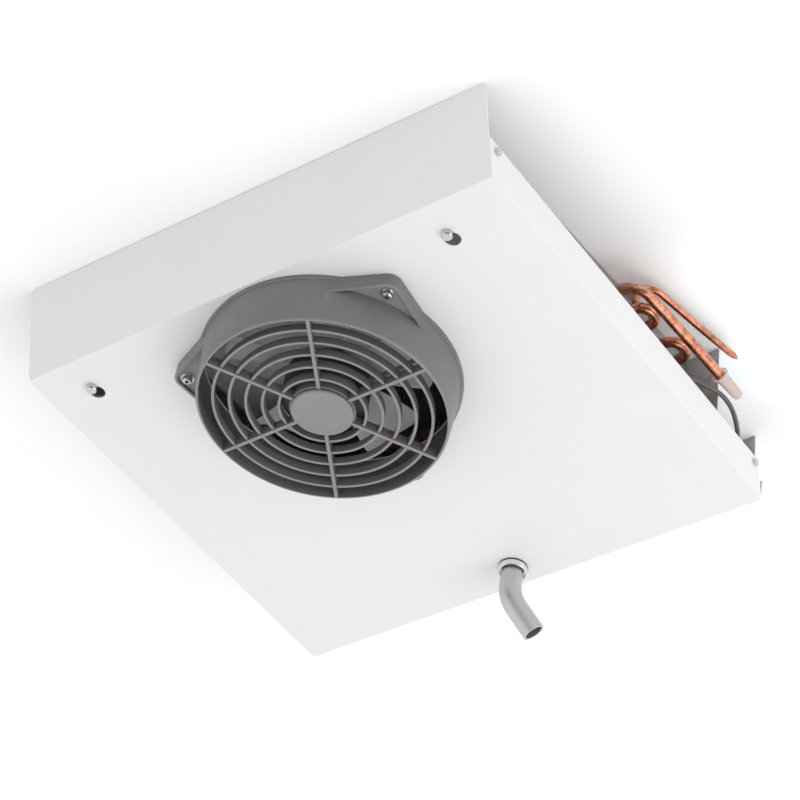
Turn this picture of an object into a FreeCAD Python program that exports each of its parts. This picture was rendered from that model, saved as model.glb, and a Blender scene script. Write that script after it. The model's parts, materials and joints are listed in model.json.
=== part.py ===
import FreeCAD, Part
import math
import os
import re

import Sketcher
from FreeCAD import Placement, Rotation, Vector

# Low-profile ceiling unit cooler, in millimetres.
# Frame: the ceiling is the plane Z = 0, X runs along the front lip, Y to the rear.
# The origin is the middle of the four ceiling screws. The drip pan hangs below on a slope,
# so the pan, the fan and the drain are modelled level and then tilted by their placement.

SIZES = {
    # white sheet-metal drip pan
    "pan_width": 500.0,
    "pan_depth": 428.0,
    "pan_sheet": 1.0,
    "pan_front": -260.0,
    "pan_shift": 7.5,
    "slope": 4.0,
    "lip_length": 95.0,
    "lip_lean": 16.65,
    "lip_top_corner": 4.0,
    "lip_foot_corner": 8.0,
    "corner_tab": 14.0,
    "corner_gap": 1.6,
    "flange_height": 40.0,
    "flange_rake": 10.0,
    "rear_height": 22.0,
    "fan_back": 119.0,
    "fan_hole_radius": 106.5,
    "key_half": 193.5,
    "key_shift": 2.0,
    "key_back": 41.0,
    "key_hole_radius": 6.75,
    "key_slot_radius": 2.9,
    "key_travel": 8.0,
    "stud_cut": 20.0,
    "drain_back": 405.0,
    "drain_hole_radius": 10.8,
    "side_screw_front": 2.0,
    "side_screw_rear": 413.0,
    "side_screw_rise": 32.5,
    "small_hole_radius": 2.3,
    "lug_hole_radius": 3.2,
    # galvanised side plates, which carry everything
    "web_half": 221.5,
    "plate_sheet": 1.5,
    "web_front": -252.0,
    "web_rear": 214.8,
    "web_rear_depth": 60.0,
    "web_lift": 3.0,
    "web_stop": 418.0,
    "web_step": 46.0,
    "top_flange": 46.0,
    "rear_tab": 32.0,
    "notch_depth": 27.0,
    "foot_length": 50.0,
    "foot_inset": 16.0,
    "lobe_radius": 11.3,
    "lobe_back": -10.0,
    "lobe_reach": 3.5,
    "bolt_half_width": 190.0,
    "bolt_half_depth": 185.0,
    "bolt_hole_radius": 4.5,
    "stud_tab_front": 18.0,
    "stud_tab_rear": 50.0,
    "stud_tab_inset": 40.0,
    "seat_gap": 0.3,
    "ear_front": 5.0,
    "ear_length": 18.0,
    "ear_drop": 8.0,
    "ear_rise": 7.0,
    # baffle outside the right plate
    "baffle_back": 92.8,
    "baffle_reach": 33.6,
    "baffle_lift": 6.0,
    "baffle_foot": 16.0,
    # finned coil
    "tube_radius": 4.76,
    "tube_pitch": 25.4,
    "first_row": 30.0,
    "first_column": -41.6,
    "row_count": 3,
    "column_count": 5,
    "fin_end_gap": 2.0,
    "fin_trim": 2.7,
    "fin_pitch": 8.5,
    "fin_edge": 0.8,
    "fin_groove": 5.0,
    "hole_clearance": 0.3,
    "bend_lead": 1.0,
    "top_row_lead": 12.0,
    # copper lines
    "liquid_radius": 3.175,
    "suction_bend": 15.0,
    "liquid_bend": 9.0,
    "suction_wall": 0.8,
    "suction_socket": 24.0,
    "cap_wall": 0.9,
    "cap_length": 33.0,
    "cap_overlap": 3.0,
    "cap_ring": 2.2,
    "cap_ring_width": 1.6,
    # fan guard, moulded in one piece
    "base_radius": 116.5,
    "base_height": 3.0,
    "cone_base": 114.6,
    "rim_radius": 110.7,
    "guard_height": 47.6,
    "guard_wall": 2.4,
    "rim_round": 1.2,
    "ring_first": 38.0,
    "ring_step": 14.4,
    "ring_count": 5,
    "ring_width": 2.4,
    "ring_depth": 7.6,
    "ring_recess": 1.2,
    "spoke_count": 6,
    "spoke_width": 3.2,
    "spoke_depth": 9.6,
    "hub_radius": 29.0,
    "hub_wall": 2.0,
    "hub_floor": 3.6,
    "hub_depth": 9.6,
    "lug_count": 3,
    "lug_radius": 125.0,
    "lug_round": 11.5,
    "lug_half_angle": 25.0,
    "lug_wall": 2.4,
    "lug_floor": 2.5,
    "lug_seat": 11.5,
    "lug_tip_height": 13.5,
    "lug_root_height": 15.5,
    "lug_boss": 5.0,
    # hub cap, motor and rotor
    "cap_disc": 1.6,
    "cap_skirt": 1.2,
    "fit_gap": 0.25,
    "motor_radius": 38.0,
    "motor_base": 37.8,
    "motor_length": 28.0,
    "motor_wall": 2.4,
    "cover_thickness": 3.0,
    "shaft_radius": 4.0,
    "shaft_top": 14.0,
    "bearing_radius": 9.0,
    "bearing_height": 6.0,
    "running_gap": 0.05,
    "stator_inner": 19.0,
    "stator_height": 9.0,
    "core_gap": 0.6,
    "motor_screw_circle": 17.0,
    "motor_screw_radius": 2.0,
    "motor_screw_head": 3.8,
    "motor_head_height": 2.0,
    "motor_screw_length": 10.0,
    "blade_count": 5,
    "impeller_hub": 31.0,
    "impeller_hub_top": 10.0,
    "impeller_hub_base": -5.0,
    "blade_thickness": 1.6,
    "blade_root": 28.0,
    "blade_mid": 62.0,
    "blade_tip": 93.0,
    "root_chord": 25.0,
    "mid_chord": 48.0,
    "tip_chord": 60.0,
    "root_pitch": 24.0,
    "mid_pitch": 27.0,
    "tip_pitch": 22.0,
    "mid_sweep": 5.0,
    "tip_sweep": 6.0,
    "root_middle": 3.0,
    "mid_middle": -1.0,
    "tip_middle": -3.0,
    # fasteners
    "screw_radius": 2.0,
    "head_radius": 3.6,
    "head_height": 2.4,
    "guard_screw_radius": 2.5,
    "guard_head_radius": 4.6,
    "guard_head_height": 4.4,
    "washer_radius": 5.9,
    "washer_height": 1.0,
    "nut_radius": 4.6,
    "nut_height": 3.4,
    "shaft_nut_radius": 7.5,
    "thread_end": 2.0,
    "key_screw_radius": 2.5,
    "key_head_radius": 5.0,
    "key_head_height": 5.0,
    "side_screw_length": 6.0,
    # drain
    "drain_radius": 10.5,
    "drain_bore": 8.5,
    "collar_radius": 13.7,
    "collar_height": 8.0,
    "gasket_height": 1.5,
    "spout_drop": 36.0,
    "spout_run": 42.0,
    "spout_turn": 42.0,
    "spout_heading": 35.0,
    "spout_bend": 18.0,
    "drain_rise": 4.0,
    "drain_lock_radius": 15.0,
    # electrics
    "cable_radius": 2.5,
    "box_length": 52.0,
    "box_width": 30.0,
    "box_height": 38.0,
    "box_ahead": 36.0,
    "box_below": 15.0,
    "box_lid": 2.5,
    "box_wall": 2.0,
    "gland_radius": 7.0,
    "gland_length": 10.0,
    "gland_bore": 3.3,
    "gland_thread": 5.5,
    "gland_thread_length": 4.0,
    "notch_radius": 5.5,
    "grommet_neck": 5.5,
    "grommet_flange": 7.6,
    "grommet_lip": 1.5,
    "grommet_bore": 3.4,
    "boss_radius": 4.6,
    "boss_start": 34.0,
    "boss_length": 10.0,
}

# Order in which the refrigerant passes the tubes, as (row, column). It starts at the suction
# outlet on the right, and the ends of two tubes are joined by bends on alternate sides.
CIRCUIT = (
    (0, 0), (0, 1), (0, 2), (0, 3), (0, 4), (1, 4), (2, 4),
    (2, 3), (1, 3), (1, 2), (2, 2), (2, 1), (1, 1), (1, 0),
)

# Pressed end of the liquid line, as (distance past the round part, width share, thickness share).
PRESSED_STEPS = ((-0.5, 0.96, 0.95), (7.0, 1.15, 0.45), (11.0, 0.9, 0.3))

# Routes, in the pan's own level frame with the origin in the middle of its front fold.
SUCTION_ROUTE = (
    (226.0, 213.5, 77.9),
    (231.0, 213.5, 77.9),
    (252.0, 213.5, 70.6),
    (254.0, 250.0, 70.7),
    (257.0, 290.0, 68.5),
    (259.5, 335.0, 67.0),
)
LIQUID_ROUTE = (
    (215.0, 213.5, 52.4),
    (236.0, 213.5, 52.4),
    (238.0, 225.0, 62.0),
    (240.0, 227.0, 91.0),
    (250.0, 242.0, 92.8),
    (257.0, 290.0, 94.8),
    (263.0, 340.0, 100.0),
)
CABLE_ROUTE = (
    (44.0, 119.0, -31.5),
    (70.0, 119.0, -31.5),
    (94.0, 119.0, -31.0),
    (106.5, 119.0, -17.0),
    (108.0, 119.0, 4.0),
    (118.0, 116.0, 24.0),
    (142.0, 109.0, 36.0),
    (171.0, 99.0, 40.0),
    (200.0, 91.0, 41.5),
    (226.0, 87.0, 43.0),
    (239.0, 97.0, 50.0),
    (241.5, 120.0, 54.0),
    (241.5, 150.0, 47.0),
    (241.5, 184.0, 37.0),
    (241.5, 224.0, 34.0),
    (241.5, 264.0, 36.0),
    (242.5, 300.0, 45.0),
    (247.0, 325.0, 55.0),
    (252.5, 347.0, 60.0),
    (251.5, 368.0, 61.0),
    (247.0, 386.0, 54.0),
    (244.0, 393.0, 41.0),
    (239.0, 394.0, 31.0),
    (231.0, 391.0, 25.0),
    (218.0, 391.0, 25.0),
)

DOC = FreeCAD.newDocument("UnitCooler")
SHEET = DOC.addObject("Spreadsheet::Sheet", "Sizes")
WORD = re.compile(r"[a-z][a-z_]*")
PARTS = []


def fill_sheet():
    for row, (name, value) in enumerate(SIZES.items(), start=1):
        SHEET.set("A%d" % row, name)
        SHEET.set("B%d" % row, str(value))
        SHEET.setAlias("B%d" % row, name)
    DOC.recompute()


def size(name):
    return float(SHEET.get(name))


def cells(text):
    return WORD.sub(lambda m: "Sizes." + m.group() if m.group() in SIZES else m.group(), str(text))


def bind(item, path, text):
    item.setExpression(path, cells(text))


# Placement of the three working frames

FRONT_DEPTH = "(lip_length * cos(lip_lean - slope) + pan_sheet * sin(lip_lean - slope))"


def on_slope(item, back="0", side="0"):
    """Tilt an item with the pan, its own origin lying on the pan's underside."""
    item.Placement = Placement(Vector(), Rotation(Vector(-1, 0, 0), size("slope")))
    bind(item, "Placement.Base.x", "pan_shift + (%s)" % side)
    bind(item, "Placement.Base.y", "pan_front + (%s) * cos(slope)" % back)
    bind(item, "Placement.Base.z", "-%s - (%s) * sin(slope)" % (FRONT_DEPTH, back))
    bind(item, "Placement.Rotation.Angle", "slope")


def pan_y(back, rise):
    return "(pan_front + (%s) * cos(slope) + (%s) * sin(slope))" % (back, rise)


def pan_z(back, rise):
    return "(-%s - (%s) * sin(slope) + (%s) * cos(slope))" % (FRONT_DEPTH, back, rise)


def keep(item, label):
    item.Label = label
    PARTS.append(item)
    return item


# Sketch and feature helpers

def new_body(label):
    body = DOC.addObject("PartDesign::Body", label)
    body.AllowCompound = True
    return keep(body, label)


def sketch(body, plane, offset="0"):
    flat = body.newObject("Sketcher::SketchObject", body.Name + "Sketch")
    support = [item for item in body.Origin.OriginFeatures if item.Role == plane][0]
    flat.AttachmentSupport = [(support, "")]
    flat.MapMode = "FlatFace"
    bind(flat, "AttachmentOffset.Base.z", offset)
    return flat


def pin_point(flat, shape, point, place):
    for kind, text in zip(("DistanceX", "DistanceY"), place):
        index = flat.addConstraint(Sketcher.Constraint(kind, -1, 1, shape, point, 1.0))
        bind(flat, "Constraints[%d]" % index, text)


def polygon(flat, corners):
    count = len(corners)
    first = flat.GeometryCount
    turn = 2 * math.pi / count
    ring = [Vector(10 * math.cos(turn * i), 10 * math.sin(turn * i), 0) for i in range(count)]
    for i in range(count):
        flat.addGeometry(Part.LineSegment(ring[i], ring[(i + 1) % count]))
    for i in range(count):
        following = first + (i + 1) % count
        flat.addConstraint(Sketcher.Constraint("Coincident", first + i, 2, following, 1))
    for i, corner in enumerate(corners):
        pin_point(flat, first + i, 1, corner)


def rectangle(flat, left, low, right, high):
    polygon(flat, ((left, low), (right, low), (right, high), (left, high)))


def circle(flat, across, along, radius):
    shape = flat.addGeometry(Part.Circle(Vector(), Vector(0, 0, 1), 5.0))
    pin_point(flat, shape, 3, (across, along))
    index = flat.addConstraint(Sketcher.Constraint("Radius", shape, 5.0))
    bind(flat, "Constraints[%d]" % index, radius)


def pad(body, flat, length, reverse=False):
    feature = body.newObject("PartDesign::Pad", flat.Name + "Pad")
    feature.Profile = flat
    feature.Reversed = reverse
    bind(feature, "Length", length)
    return feature


def pocket(body, flat, length=None, reverse=False):
    feature = body.newObject("PartDesign::Pocket", flat.Name + "Pocket")
    feature.Profile = flat
    feature.Reversed = reverse
    if length is None:
        feature.Type = "ThroughAll"
        feature.Midplane = True
    else:
        bind(feature, "Length", length)
    return feature


def revolve(body, corners, kind="PartDesign::Revolution"):
    """Turn an outline, given as (radius, height), about a vertical axis."""
    flat = sketch(body, "XZ_Plane")
    polygon(flat, corners)
    feature = body.newObject(kind, flat.Name + "Turn")
    feature.Profile = flat
    feature.ReferenceAxis = (flat, ["V_Axis"])
    feature.Angle = 360.0
    return feature


def polar(body, features, count):
    pattern = body.newObject("PartDesign::PolarPattern", body.Name + "Pattern")
    pattern.Originals = features
    axis = [item for item in body.Origin.OriginFeatures if item.Role == "Z_Axis"][0]
    pattern.Axis = (axis, [""])
    pattern.Angle = 360.0
    bind(pattern, "Occurrences", count)
    body.Tip = pattern
    return pattern


def cylinder(name, radius, height, base, axis="Z"):
    item = DOC.addObject("Part::Cylinder", name)
    turns = {
        "Z": Rotation(),
        "X": Rotation(Vector(0, 1, 0), 90),
        "-X": Rotation(Vector(0, 1, 0), -90),
    }
    item.Placement = Placement(Vector(), turns[axis])
    bind(item, "Radius", radius)
    bind(item, "Height", height)
    for letter, text in zip("xyz", base):
        bind(item, "Placement.Base." + letter, text)
    return item


def fuse(label, items):
    item = DOC.addObject("Part::MultiFuse", label)
    item.Shapes = items
    return item


def cut(label, base, tool):
    item = DOC.addObject("Part::Cut", label)
    item.Base = base
    item.Tool = tool
    return item


def group(label, items):
    item = DOC.addObject("Part::Compound", label)
    item.Links = items
    return item


# Routes of straight runs joined by tangent arcs

def route_wire(points, radius=None):
    knots = [Vector(*point) for point in points]
    edges = []
    start = knots[0]
    for before, knot, after in zip(knots, knots[1:], knots[2:]):
        towards = (before - knot).normalize()
        onward = (after - knot).normalize()
        turn = math.pi - towards.getAngle(onward)
        shorter = min((before - knot).Length, (after - knot).Length)
        reach = 0.45 * shorter
        if radius is not None:
            reach = min(reach, radius * math.tan(turn / 2))
        bisector = (towards + onward).normalize()
        bend = reach / math.tan(turn / 2)
        centre_distance = bend / math.cos(turn / 2)
        entry = knot + towards * reach
        leave = knot + onward * reach
        middle = knot + bisector * (centre_distance - bend)
        edges.append(Part.LineSegment(start, entry).toShape())
        edges.append(Part.Arc(entry, middle, leave).toShape())
        start = leave
    edges.append(Part.LineSegment(start, knots[-1]).toShape())
    return Part.Wire(edges)


def bend_radii(points):
    knots = [Vector(*point) for point in points]
    radii = []
    for before, knot, after in zip(knots, knots[1:], knots[2:]):
        turn = math.pi - (before - knot).getAngle(after - knot)
        shorter = min((before - knot).Length, (after - knot).Length)
        radii.append(round(0.45 * shorter / math.tan(turn / 2), 1))
    return radii


def tube(wire, radius):
    start = wire.Edges[0].valueAt(wire.Edges[0].FirstParameter)
    heading = wire.Edges[0].tangentAt(wire.Edges[0].FirstParameter)
    profile = Part.Wire([Part.makeCircle(radius, start, heading)])
    return wire.makePipeShell([profile], True, True)


def free_part(label, shape):
    item = DOC.addObject("Part::Feature", label)
    item.Shape = shape
    return keep(item, label)


# White drip pan

def make_drip_pan():
    body = new_body("drip_pan")
    on_slope(body)
    base = sketch(body, "XY_Plane")
    rectangle(base, "-pan_width / 2", "0", "pan_width / 2", "pan_depth")
    pad(body, base, "pan_sheet")
    for side, reverse in (("-1", False), ("1", True)):
        wall = sketch(body, "YZ_Plane", "%s * pan_width / 2" % side)
        polygon(wall, (
            ("corner_gap", "0"),
            ("pan_depth", "0"),
            ("pan_depth - flange_rake", "flange_height"),
            ("corner_gap - flange_height * tan(lip_lean)", "flange_height"),
        ))
        pad(body, wall, "pan_sheet", reverse)
        add_corner_tab(body, side)
    rear = sketch(body, "XZ_Plane", "-pan_depth")
    rectangle(rear, "-pan_width / 2", "0", "pan_width / 2", "rear_height")
    pad(body, rear, "pan_sheet")
    make_lip(body)
    make_pan_holes(body)


def add_corner_tab(body, side):
    """Fold at the front end of a side wall that closes the corner behind the lip."""
    flat = sketch(body, "XZ_Plane")
    flat.AttachmentOffset = Placement(
        Vector(0, 0, -size("corner_gap")),
        Rotation(Vector(1, 0, 0), size("lip_lean")),
    )
    bind(flat, "AttachmentOffset.Base.z", "-corner_gap")
    bind(flat, "AttachmentOffset.Rotation.Angle", "lip_lean")
    edges = ("%s * pan_width / 2" % side, "%s * (pan_width / 2 - corner_tab)" % side)
    left, right = edges if side == "-1" else edges[::-1]
    rectangle(flat, left, "0", right, "flange_height")
    pad(body, flat, "pan_sheet", True)


def make_lip(body):
    lip = sketch(body, "XZ_Plane")
    lip.AttachmentOffset = Placement(Vector(), Rotation(Vector(1, 0, 0), size("lip_lean")))
    bind(lip, "AttachmentOffset.Rotation.Angle", "lip_lean")
    rectangle(lip, "-pan_width / 2", "0", "pan_width / 2", "lip_length")
    pad(body, lip, "pan_sheet", True)
    for side in (-1, 1):
        round_lip_corner(body, side)
        round_lip_foot(body, side)


def round_lip_foot(body, side):
    """Take off the lip's sheet outside the round at one end of its fold."""
    flat = sketch(body, "XZ_Plane")
    flat.AttachmentOffset = Placement(Vector(), Rotation(Vector(1, 0, 0), size("lip_lean")))
    bind(flat, "AttachmentOffset.Rotation.Angle", "lip_lean")
    radius = size("lip_foot_corner")
    edge = side * size("pan_width") / 2
    beside = Vector(edge - side * radius, 0, 0)
    above = Vector(edge, radius, 0)
    ring = Part.Circle(Vector(beside.x, above.y, 0), Vector(0, 0, 1), radius)
    first_angle = -math.pi / 2 if side > 0 else math.pi
    flat.addGeometry(Part.LineSegment(beside, Vector(edge, 0, 0)))
    flat.addGeometry(Part.LineSegment(Vector(edge, 0, 0), above))
    flat.addGeometry(Part.ArcOfCircle(ring, first_angle, first_angle + math.pi / 2))
    arc_end = 2 if side > 0 else 1
    flat.addConstraint(Sketcher.Constraint("Coincident", 0, 2, 1, 1))
    flat.addConstraint(Sketcher.Constraint("Tangent", 1, 2, 2, arc_end))
    flat.addConstraint(Sketcher.Constraint("Tangent", 2, 3 - arc_end, 0, 1))
    flat.addConstraint(Sketcher.Constraint("Horizontal", 0))
    flat.addConstraint(Sketcher.Constraint("Vertical", 1))
    index = flat.addConstraint(Sketcher.Constraint("Radius", 2, radius))
    bind(flat, "Constraints[%d]" % index, "lip_foot_corner")
    pin_point(flat, 1, 1, ("%d * pan_width / 2" % side, "0"))
    pocket(body, flat, "pan_sheet")


def round_lip_corner(body, side):
    """Take off the region between one square top corner of the lip and its round."""
    flat = sketch(body, "XZ_Plane")
    flat.AttachmentOffset = Placement(Vector(), Rotation(Vector(1, 0, 0), size("lip_lean")))
    bind(flat, "AttachmentOffset.Rotation.Angle", "lip_lean")
    radius = size("lip_top_corner")
    edge = side * size("pan_width") / 2
    top = size("lip_length")
    corner = Vector(edge, top, 0)
    below = Vector(edge, top - radius, 0)
    beside = Vector(edge - side * radius, top, 0)
    ring = Part.Circle(Vector(beside.x, below.y, 0), Vector(0, 0, 1), radius)
    first_angle = 0 if side > 0 else math.pi / 2
    flat.addGeometry(Part.LineSegment(beside, corner))
    flat.addGeometry(Part.LineSegment(corner, below))
    flat.addGeometry(Part.ArcOfCircle(ring, first_angle, first_angle + math.pi / 2))
    arc_start = 1 if side > 0 else 2
    flat.addConstraint(Sketcher.Constraint("Coincident", 0, 2, 1, 1))
    flat.addConstraint(Sketcher.Constraint("Tangent", 1, 2, 2, arc_start))
    flat.addConstraint(Sketcher.Constraint("Tangent", 2, 3 - arc_start, 0, 1))
    flat.addConstraint(Sketcher.Constraint("Horizontal", 0))
    flat.addConstraint(Sketcher.Constraint("Vertical", 1))
    index = flat.addConstraint(Sketcher.Constraint("Radius", 2, radius))
    bind(flat, "Constraints[%d]" % index, "lip_top_corner")
    pin_point(flat, 1, 1, ("%d * pan_width / 2" % side, "lip_length"))
    pocket(body, flat)


KEY_ACROSS = "(%s * key_half - pan_shift - key_shift)"


def make_pan_holes(body):
    large = sketch(body, "XY_Plane")
    circle(large, "0", "fan_back", "fan_hole_radius")
    circle(large, "0", "drain_back", "drain_hole_radius")
    for index in range(3):
        angle = "(%d * 360 / lug_count + 90)" % index
        circle(
            large,
            "lug_radius * cos(%s)" % angle,
            "fan_back + lug_radius * sin(%s)" % angle,
            "lug_hole_radius",
        )
    for side in ("-1", "1"):
        circle(large, KEY_ACROSS % side, "key_back", "key_hole_radius")
    pocket(body, large)
    slots = sketch(body, "XY_Plane")
    for side in ("-1", "1"):
        across = KEY_ACROSS % side
        rectangle(
            slots,
            "%s - key_slot_radius" % across,
            "key_back - key_travel",
            "%s + key_slot_radius" % across,
            "key_back",
        )
    pocket(body, slots)
    ends = sketch(body, "XY_Plane")
    for side in ("-1", "1"):
        circle(ends, KEY_ACROSS % side, "key_back - key_travel", "key_slot_radius")
    circle(ends, "fan_hole_radius + 1", "fan_back", "notch_radius")
    pocket(body, ends)
    sides = sketch(body, "YZ_Plane")
    for back in ("side_screw_front", "side_screw_rear"):
        circle(sides, back, "side_screw_rise", "small_hole_radius")
    pocket(body, sides)


# Side plates

def tube_place(row, column):
    across = "first_column + %d * tube_pitch" % column
    height = "-first_row - %d * tube_pitch" % row
    return across, height


NOTCH_FRONT = "(baffle_back + baffle_foot + seat_gap)"


def make_side_plate(label, side):
    body = new_body(label)
    right = side > 0
    face = "%d * web_half" % side
    web = sketch(body, "YZ_Plane", face)
    polygon(web, (
        ("web_front", "0"),
        ("web_front", pan_z("8", "web_lift")),
        (pan_y("web_stop", "web_lift"), pan_z("web_stop", "web_lift")),
        (pan_y("web_stop", "web_step"), pan_z("web_stop", "web_step")),
        ("web_rear - rear_tab", "-web_rear_depth"),
        ("web_rear", "-web_rear_depth"),
        ("web_rear", "-notch_depth"),
        (NOTCH_FRONT, "-notch_depth"),
        (NOTCH_FRONT, "0"),
    ))
    pad(body, web, "plate_sheet", right)
    top = sketch(body, "XY_Plane")
    inner = "%d * (web_half - top_flange)" % side
    rectangle(top, face, "web_front", inner, NOTCH_FRONT)
    rectangle(top, "%d * (web_half - foot_inset)" % side, "web_rear - foot_length", inner, "web_rear")
    pad(body, top, "plate_sheet", True)
    if right:
        lobe = sketch(body, "XY_Plane")
        circle(lobe, "web_half + lobe_reach", "lobe_back", "lobe_radius")
        pad(body, lobe, "plate_sheet", True)
    tab = sketch(body, "XZ_Plane", "-web_rear")
    rectangle(tab, face, "-web_rear_depth", inner, "0")
    pad(body, tab, "plate_sheet")
    add_stud_tab(body, face, right)
    for back in ("side_screw_front", "side_screw_rear"):
        add_ear(body, side, back)
    cut_plate_holes(body, side)


def slab(flat, front, rear, low, thickness):
    """Outline of a strip that lies parallel to the pan, seen from the side."""
    high = "%s + %s" % (low, thickness)
    polygon(flat, (
        (pan_y(front, low), pan_z(front, low)),
        (pan_y(rear, low), pan_z(rear, low)),
        (pan_y(rear, high), pan_z(rear, high)),
        (pan_y(front, high), pan_z(front, high)),
    ))


def add_stud_tab(body, face, right):
    flat = sketch(body, "YZ_Plane", face)
    slab(flat, "stud_tab_front", "stud_tab_rear", "pan_sheet + seat_gap", "plate_sheet")
    pad(body, flat, "stud_tab_inset", right)
    link = sketch(body, "YZ_Plane", face)
    polygon(link, (
        (pan_y("stud_tab_front", "pan_sheet + seat_gap"), pan_z("stud_tab_front", "pan_sheet + seat_gap")),
        (pan_y("stud_tab_rear", "pan_sheet + seat_gap"), pan_z("stud_tab_rear", "pan_sheet + seat_gap")),
        (pan_y("stud_tab_rear", "web_lift + 1"), pan_z("stud_tab_rear", "web_lift + 1")),
        (pan_y("stud_tab_front", "web_lift + 1"), pan_z("stud_tab_front", "web_lift + 1")),
    ))
    pad(body, link, "plate_sheet", right)


def add_ear(body, side, back):
    """Outward ear that reaches the pan's side wall and takes its screw."""
    reach = "pan_width / 2 + %d * pan_shift - pan_sheet - seat_gap - web_half" % side
    front = "%s - ear_front" % back
    rear = "%s + ear_length" % back
    if back == "side_screw_rear":
        rear = "web_stop"
    low = "side_screw_rise - ear_drop"
    strip = sketch(body, "YZ_Plane", "%d * (web_half - plate_sheet)" % side)
    slab(strip, front, rear, low, "plate_sheet")
    pad(body, strip, "%s + plate_sheet" % reach, side < 0)
    end = sketch(body, "YZ_Plane", "%d * (web_half + %s)" % (side, reach))
    slab(end, front, rear, low, "ear_drop + ear_rise")
    pad(body, end, "plate_sheet", side > 0)


def cut_plate_holes(body, side):
    tubes = sketch(body, "YZ_Plane", "%d * web_half" % side)
    for row, column in CIRCUIT:
        across, height = tube_place(row, column)
        circle(tubes, across, height, "tube_radius + hole_clearance")
    pocket(body, tubes, "2 * plate_sheet", side < 0)
    screws = sketch(body, "YZ_Plane", "%d * web_half / 2" % side)
    for back in ("side_screw_front", "side_screw_rear"):
        circle(screws, pan_y(back, "side_screw_rise"), pan_z(back, "side_screw_rise"), "screw_radius")
    pocket(body, screws, "pan_width / 2", side > 0)
    bolts = sketch(body, "XY_Plane")
    for back in ("-1", "1"):
        circle(bolts, "%d * bolt_half_width" % side, "%s * bolt_half_depth" % back, "bolt_hole_radius")
    pocket(body, bolts, "2 * plate_sheet")
    back = "key_back - key_travel"
    studs = sketch(body, "XY_Plane", pan_z(back, "stud_cut / 2"))
    across = "%d * key_half - key_shift" % side
    circle(studs, across, pan_y(back, "pan_sheet"), "key_screw_radius + seat_gap")
    pocket(body, studs, "stud_cut")
    if side > 0:
        wires = sketch(body, "YZ_Plane", "web_half")
        circle(wires, *crossing(8), "grommet_neck + fit_gap")
        circle(wires, *crossing(-2), "gland_thread + fit_gap")
        pocket(body, wires, "2 * plate_sheet")


def crossing(index):
    """Where one run of the cable's route passes the right plate, in the plate's plane."""
    first = CABLE_ROUTE[index]
    second = CABLE_ROUTE[index + 1]
    share = "((web_half - plate_sheet / 2 - pan_shift - %s) / %s)" % (first[0], second[0] - first[0])
    back = "(%s + %s * (%s))" % (first[1], share, second[1] - first[1])
    rise = "(%s + %s * (%s))" % (first[2], share, second[2] - first[2])
    return pan_y(back, rise), pan_z(back, rise)


def make_side_baffle():
    body = new_body("side_baffle")
    outer = "web_half + baffle_reach"
    low = pan_z("(baffle_back - pan_front) / cos(slope)", "baffle_lift")
    plate = sketch(body, "XZ_Plane", "-baffle_back")
    rectangle(plate, "web_half", low, outer, "0")
    pad(body, plate, "plate_sheet", True)
    foot = sketch(body, "YZ_Plane", "web_half")
    rectangle(foot, "baffle_back", low, "baffle_back + baffle_foot", "0")
    pad(body, foot, "plate_sheet")


# Coil

def half_bend(name, first, second, side):
    """Half a torus that joins two tube ends outside one side plate."""
    item = DOC.addObject("Part::Torus", name)
    item.Angle3 = 180.0
    turn = Rotation(Vector(0, 0, 1), -90.0 * side)
    if first[1] == second[1]:
        turn = Rotation(Vector(1, 0, 0), 90).multiply(turn)
    item.Placement = Placement(Vector(), turn)
    bind(item, "Radius1", "tube_pitch / 2")
    bind(item, "Radius2", "tube_radius")
    start = tube_place(*first)
    end = tube_place(*second)
    lead = "top_row_lead" if side > 0 and first[0] == second[0] == 0 else "bend_lead"
    bind(item, "Placement.Base.x", "%d * (web_half + %s)" % (side, lead))
    bind(item, "Placement.Base.y", "((%s) + (%s)) / 2" % (start[0], end[0]))
    bind(item, "Placement.Base.z", "((%s) + (%s)) / 2" % (start[1], end[1]))
    return item


def make_hairpins():
    """Tube pairs, each bent round at the left and reaching just past the right plate."""
    left = "-web_half - bend_lead"
    pins = []
    for index in range(0, len(CIRCUIT), 2):
        pair = CIRCUIT[index:index + 2]
        pieces = [half_bend("HairpinBend%d" % index, pair[0], pair[1], -1)]
        for leg, place in enumerate(pair):
            across, height = tube_place(*place)
            name = "HairpinLeg%d" % (index + leg)
            lead = "top_row_lead" if place[0] == 0 else "bend_lead"
            length = "2 * web_half + bend_lead + %s" % lead
            pieces.append(cylinder(name, "tube_radius", length, (left, across, height), "X"))
        pins.append(fuse("Hairpin%d" % index, pieces))
    keep(group("CoilHairpins", pins), "coil_hairpins")


def make_return_bends():
    bends = []
    for index in range(1, len(CIRCUIT) - 1, 2):
        bends.append(half_bend("ReturnBend%d" % index, CIRCUIT[index], CIRCUIT[index + 1], 1))
    keep(group("ReturnBends", bends), "return_bends")


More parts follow.
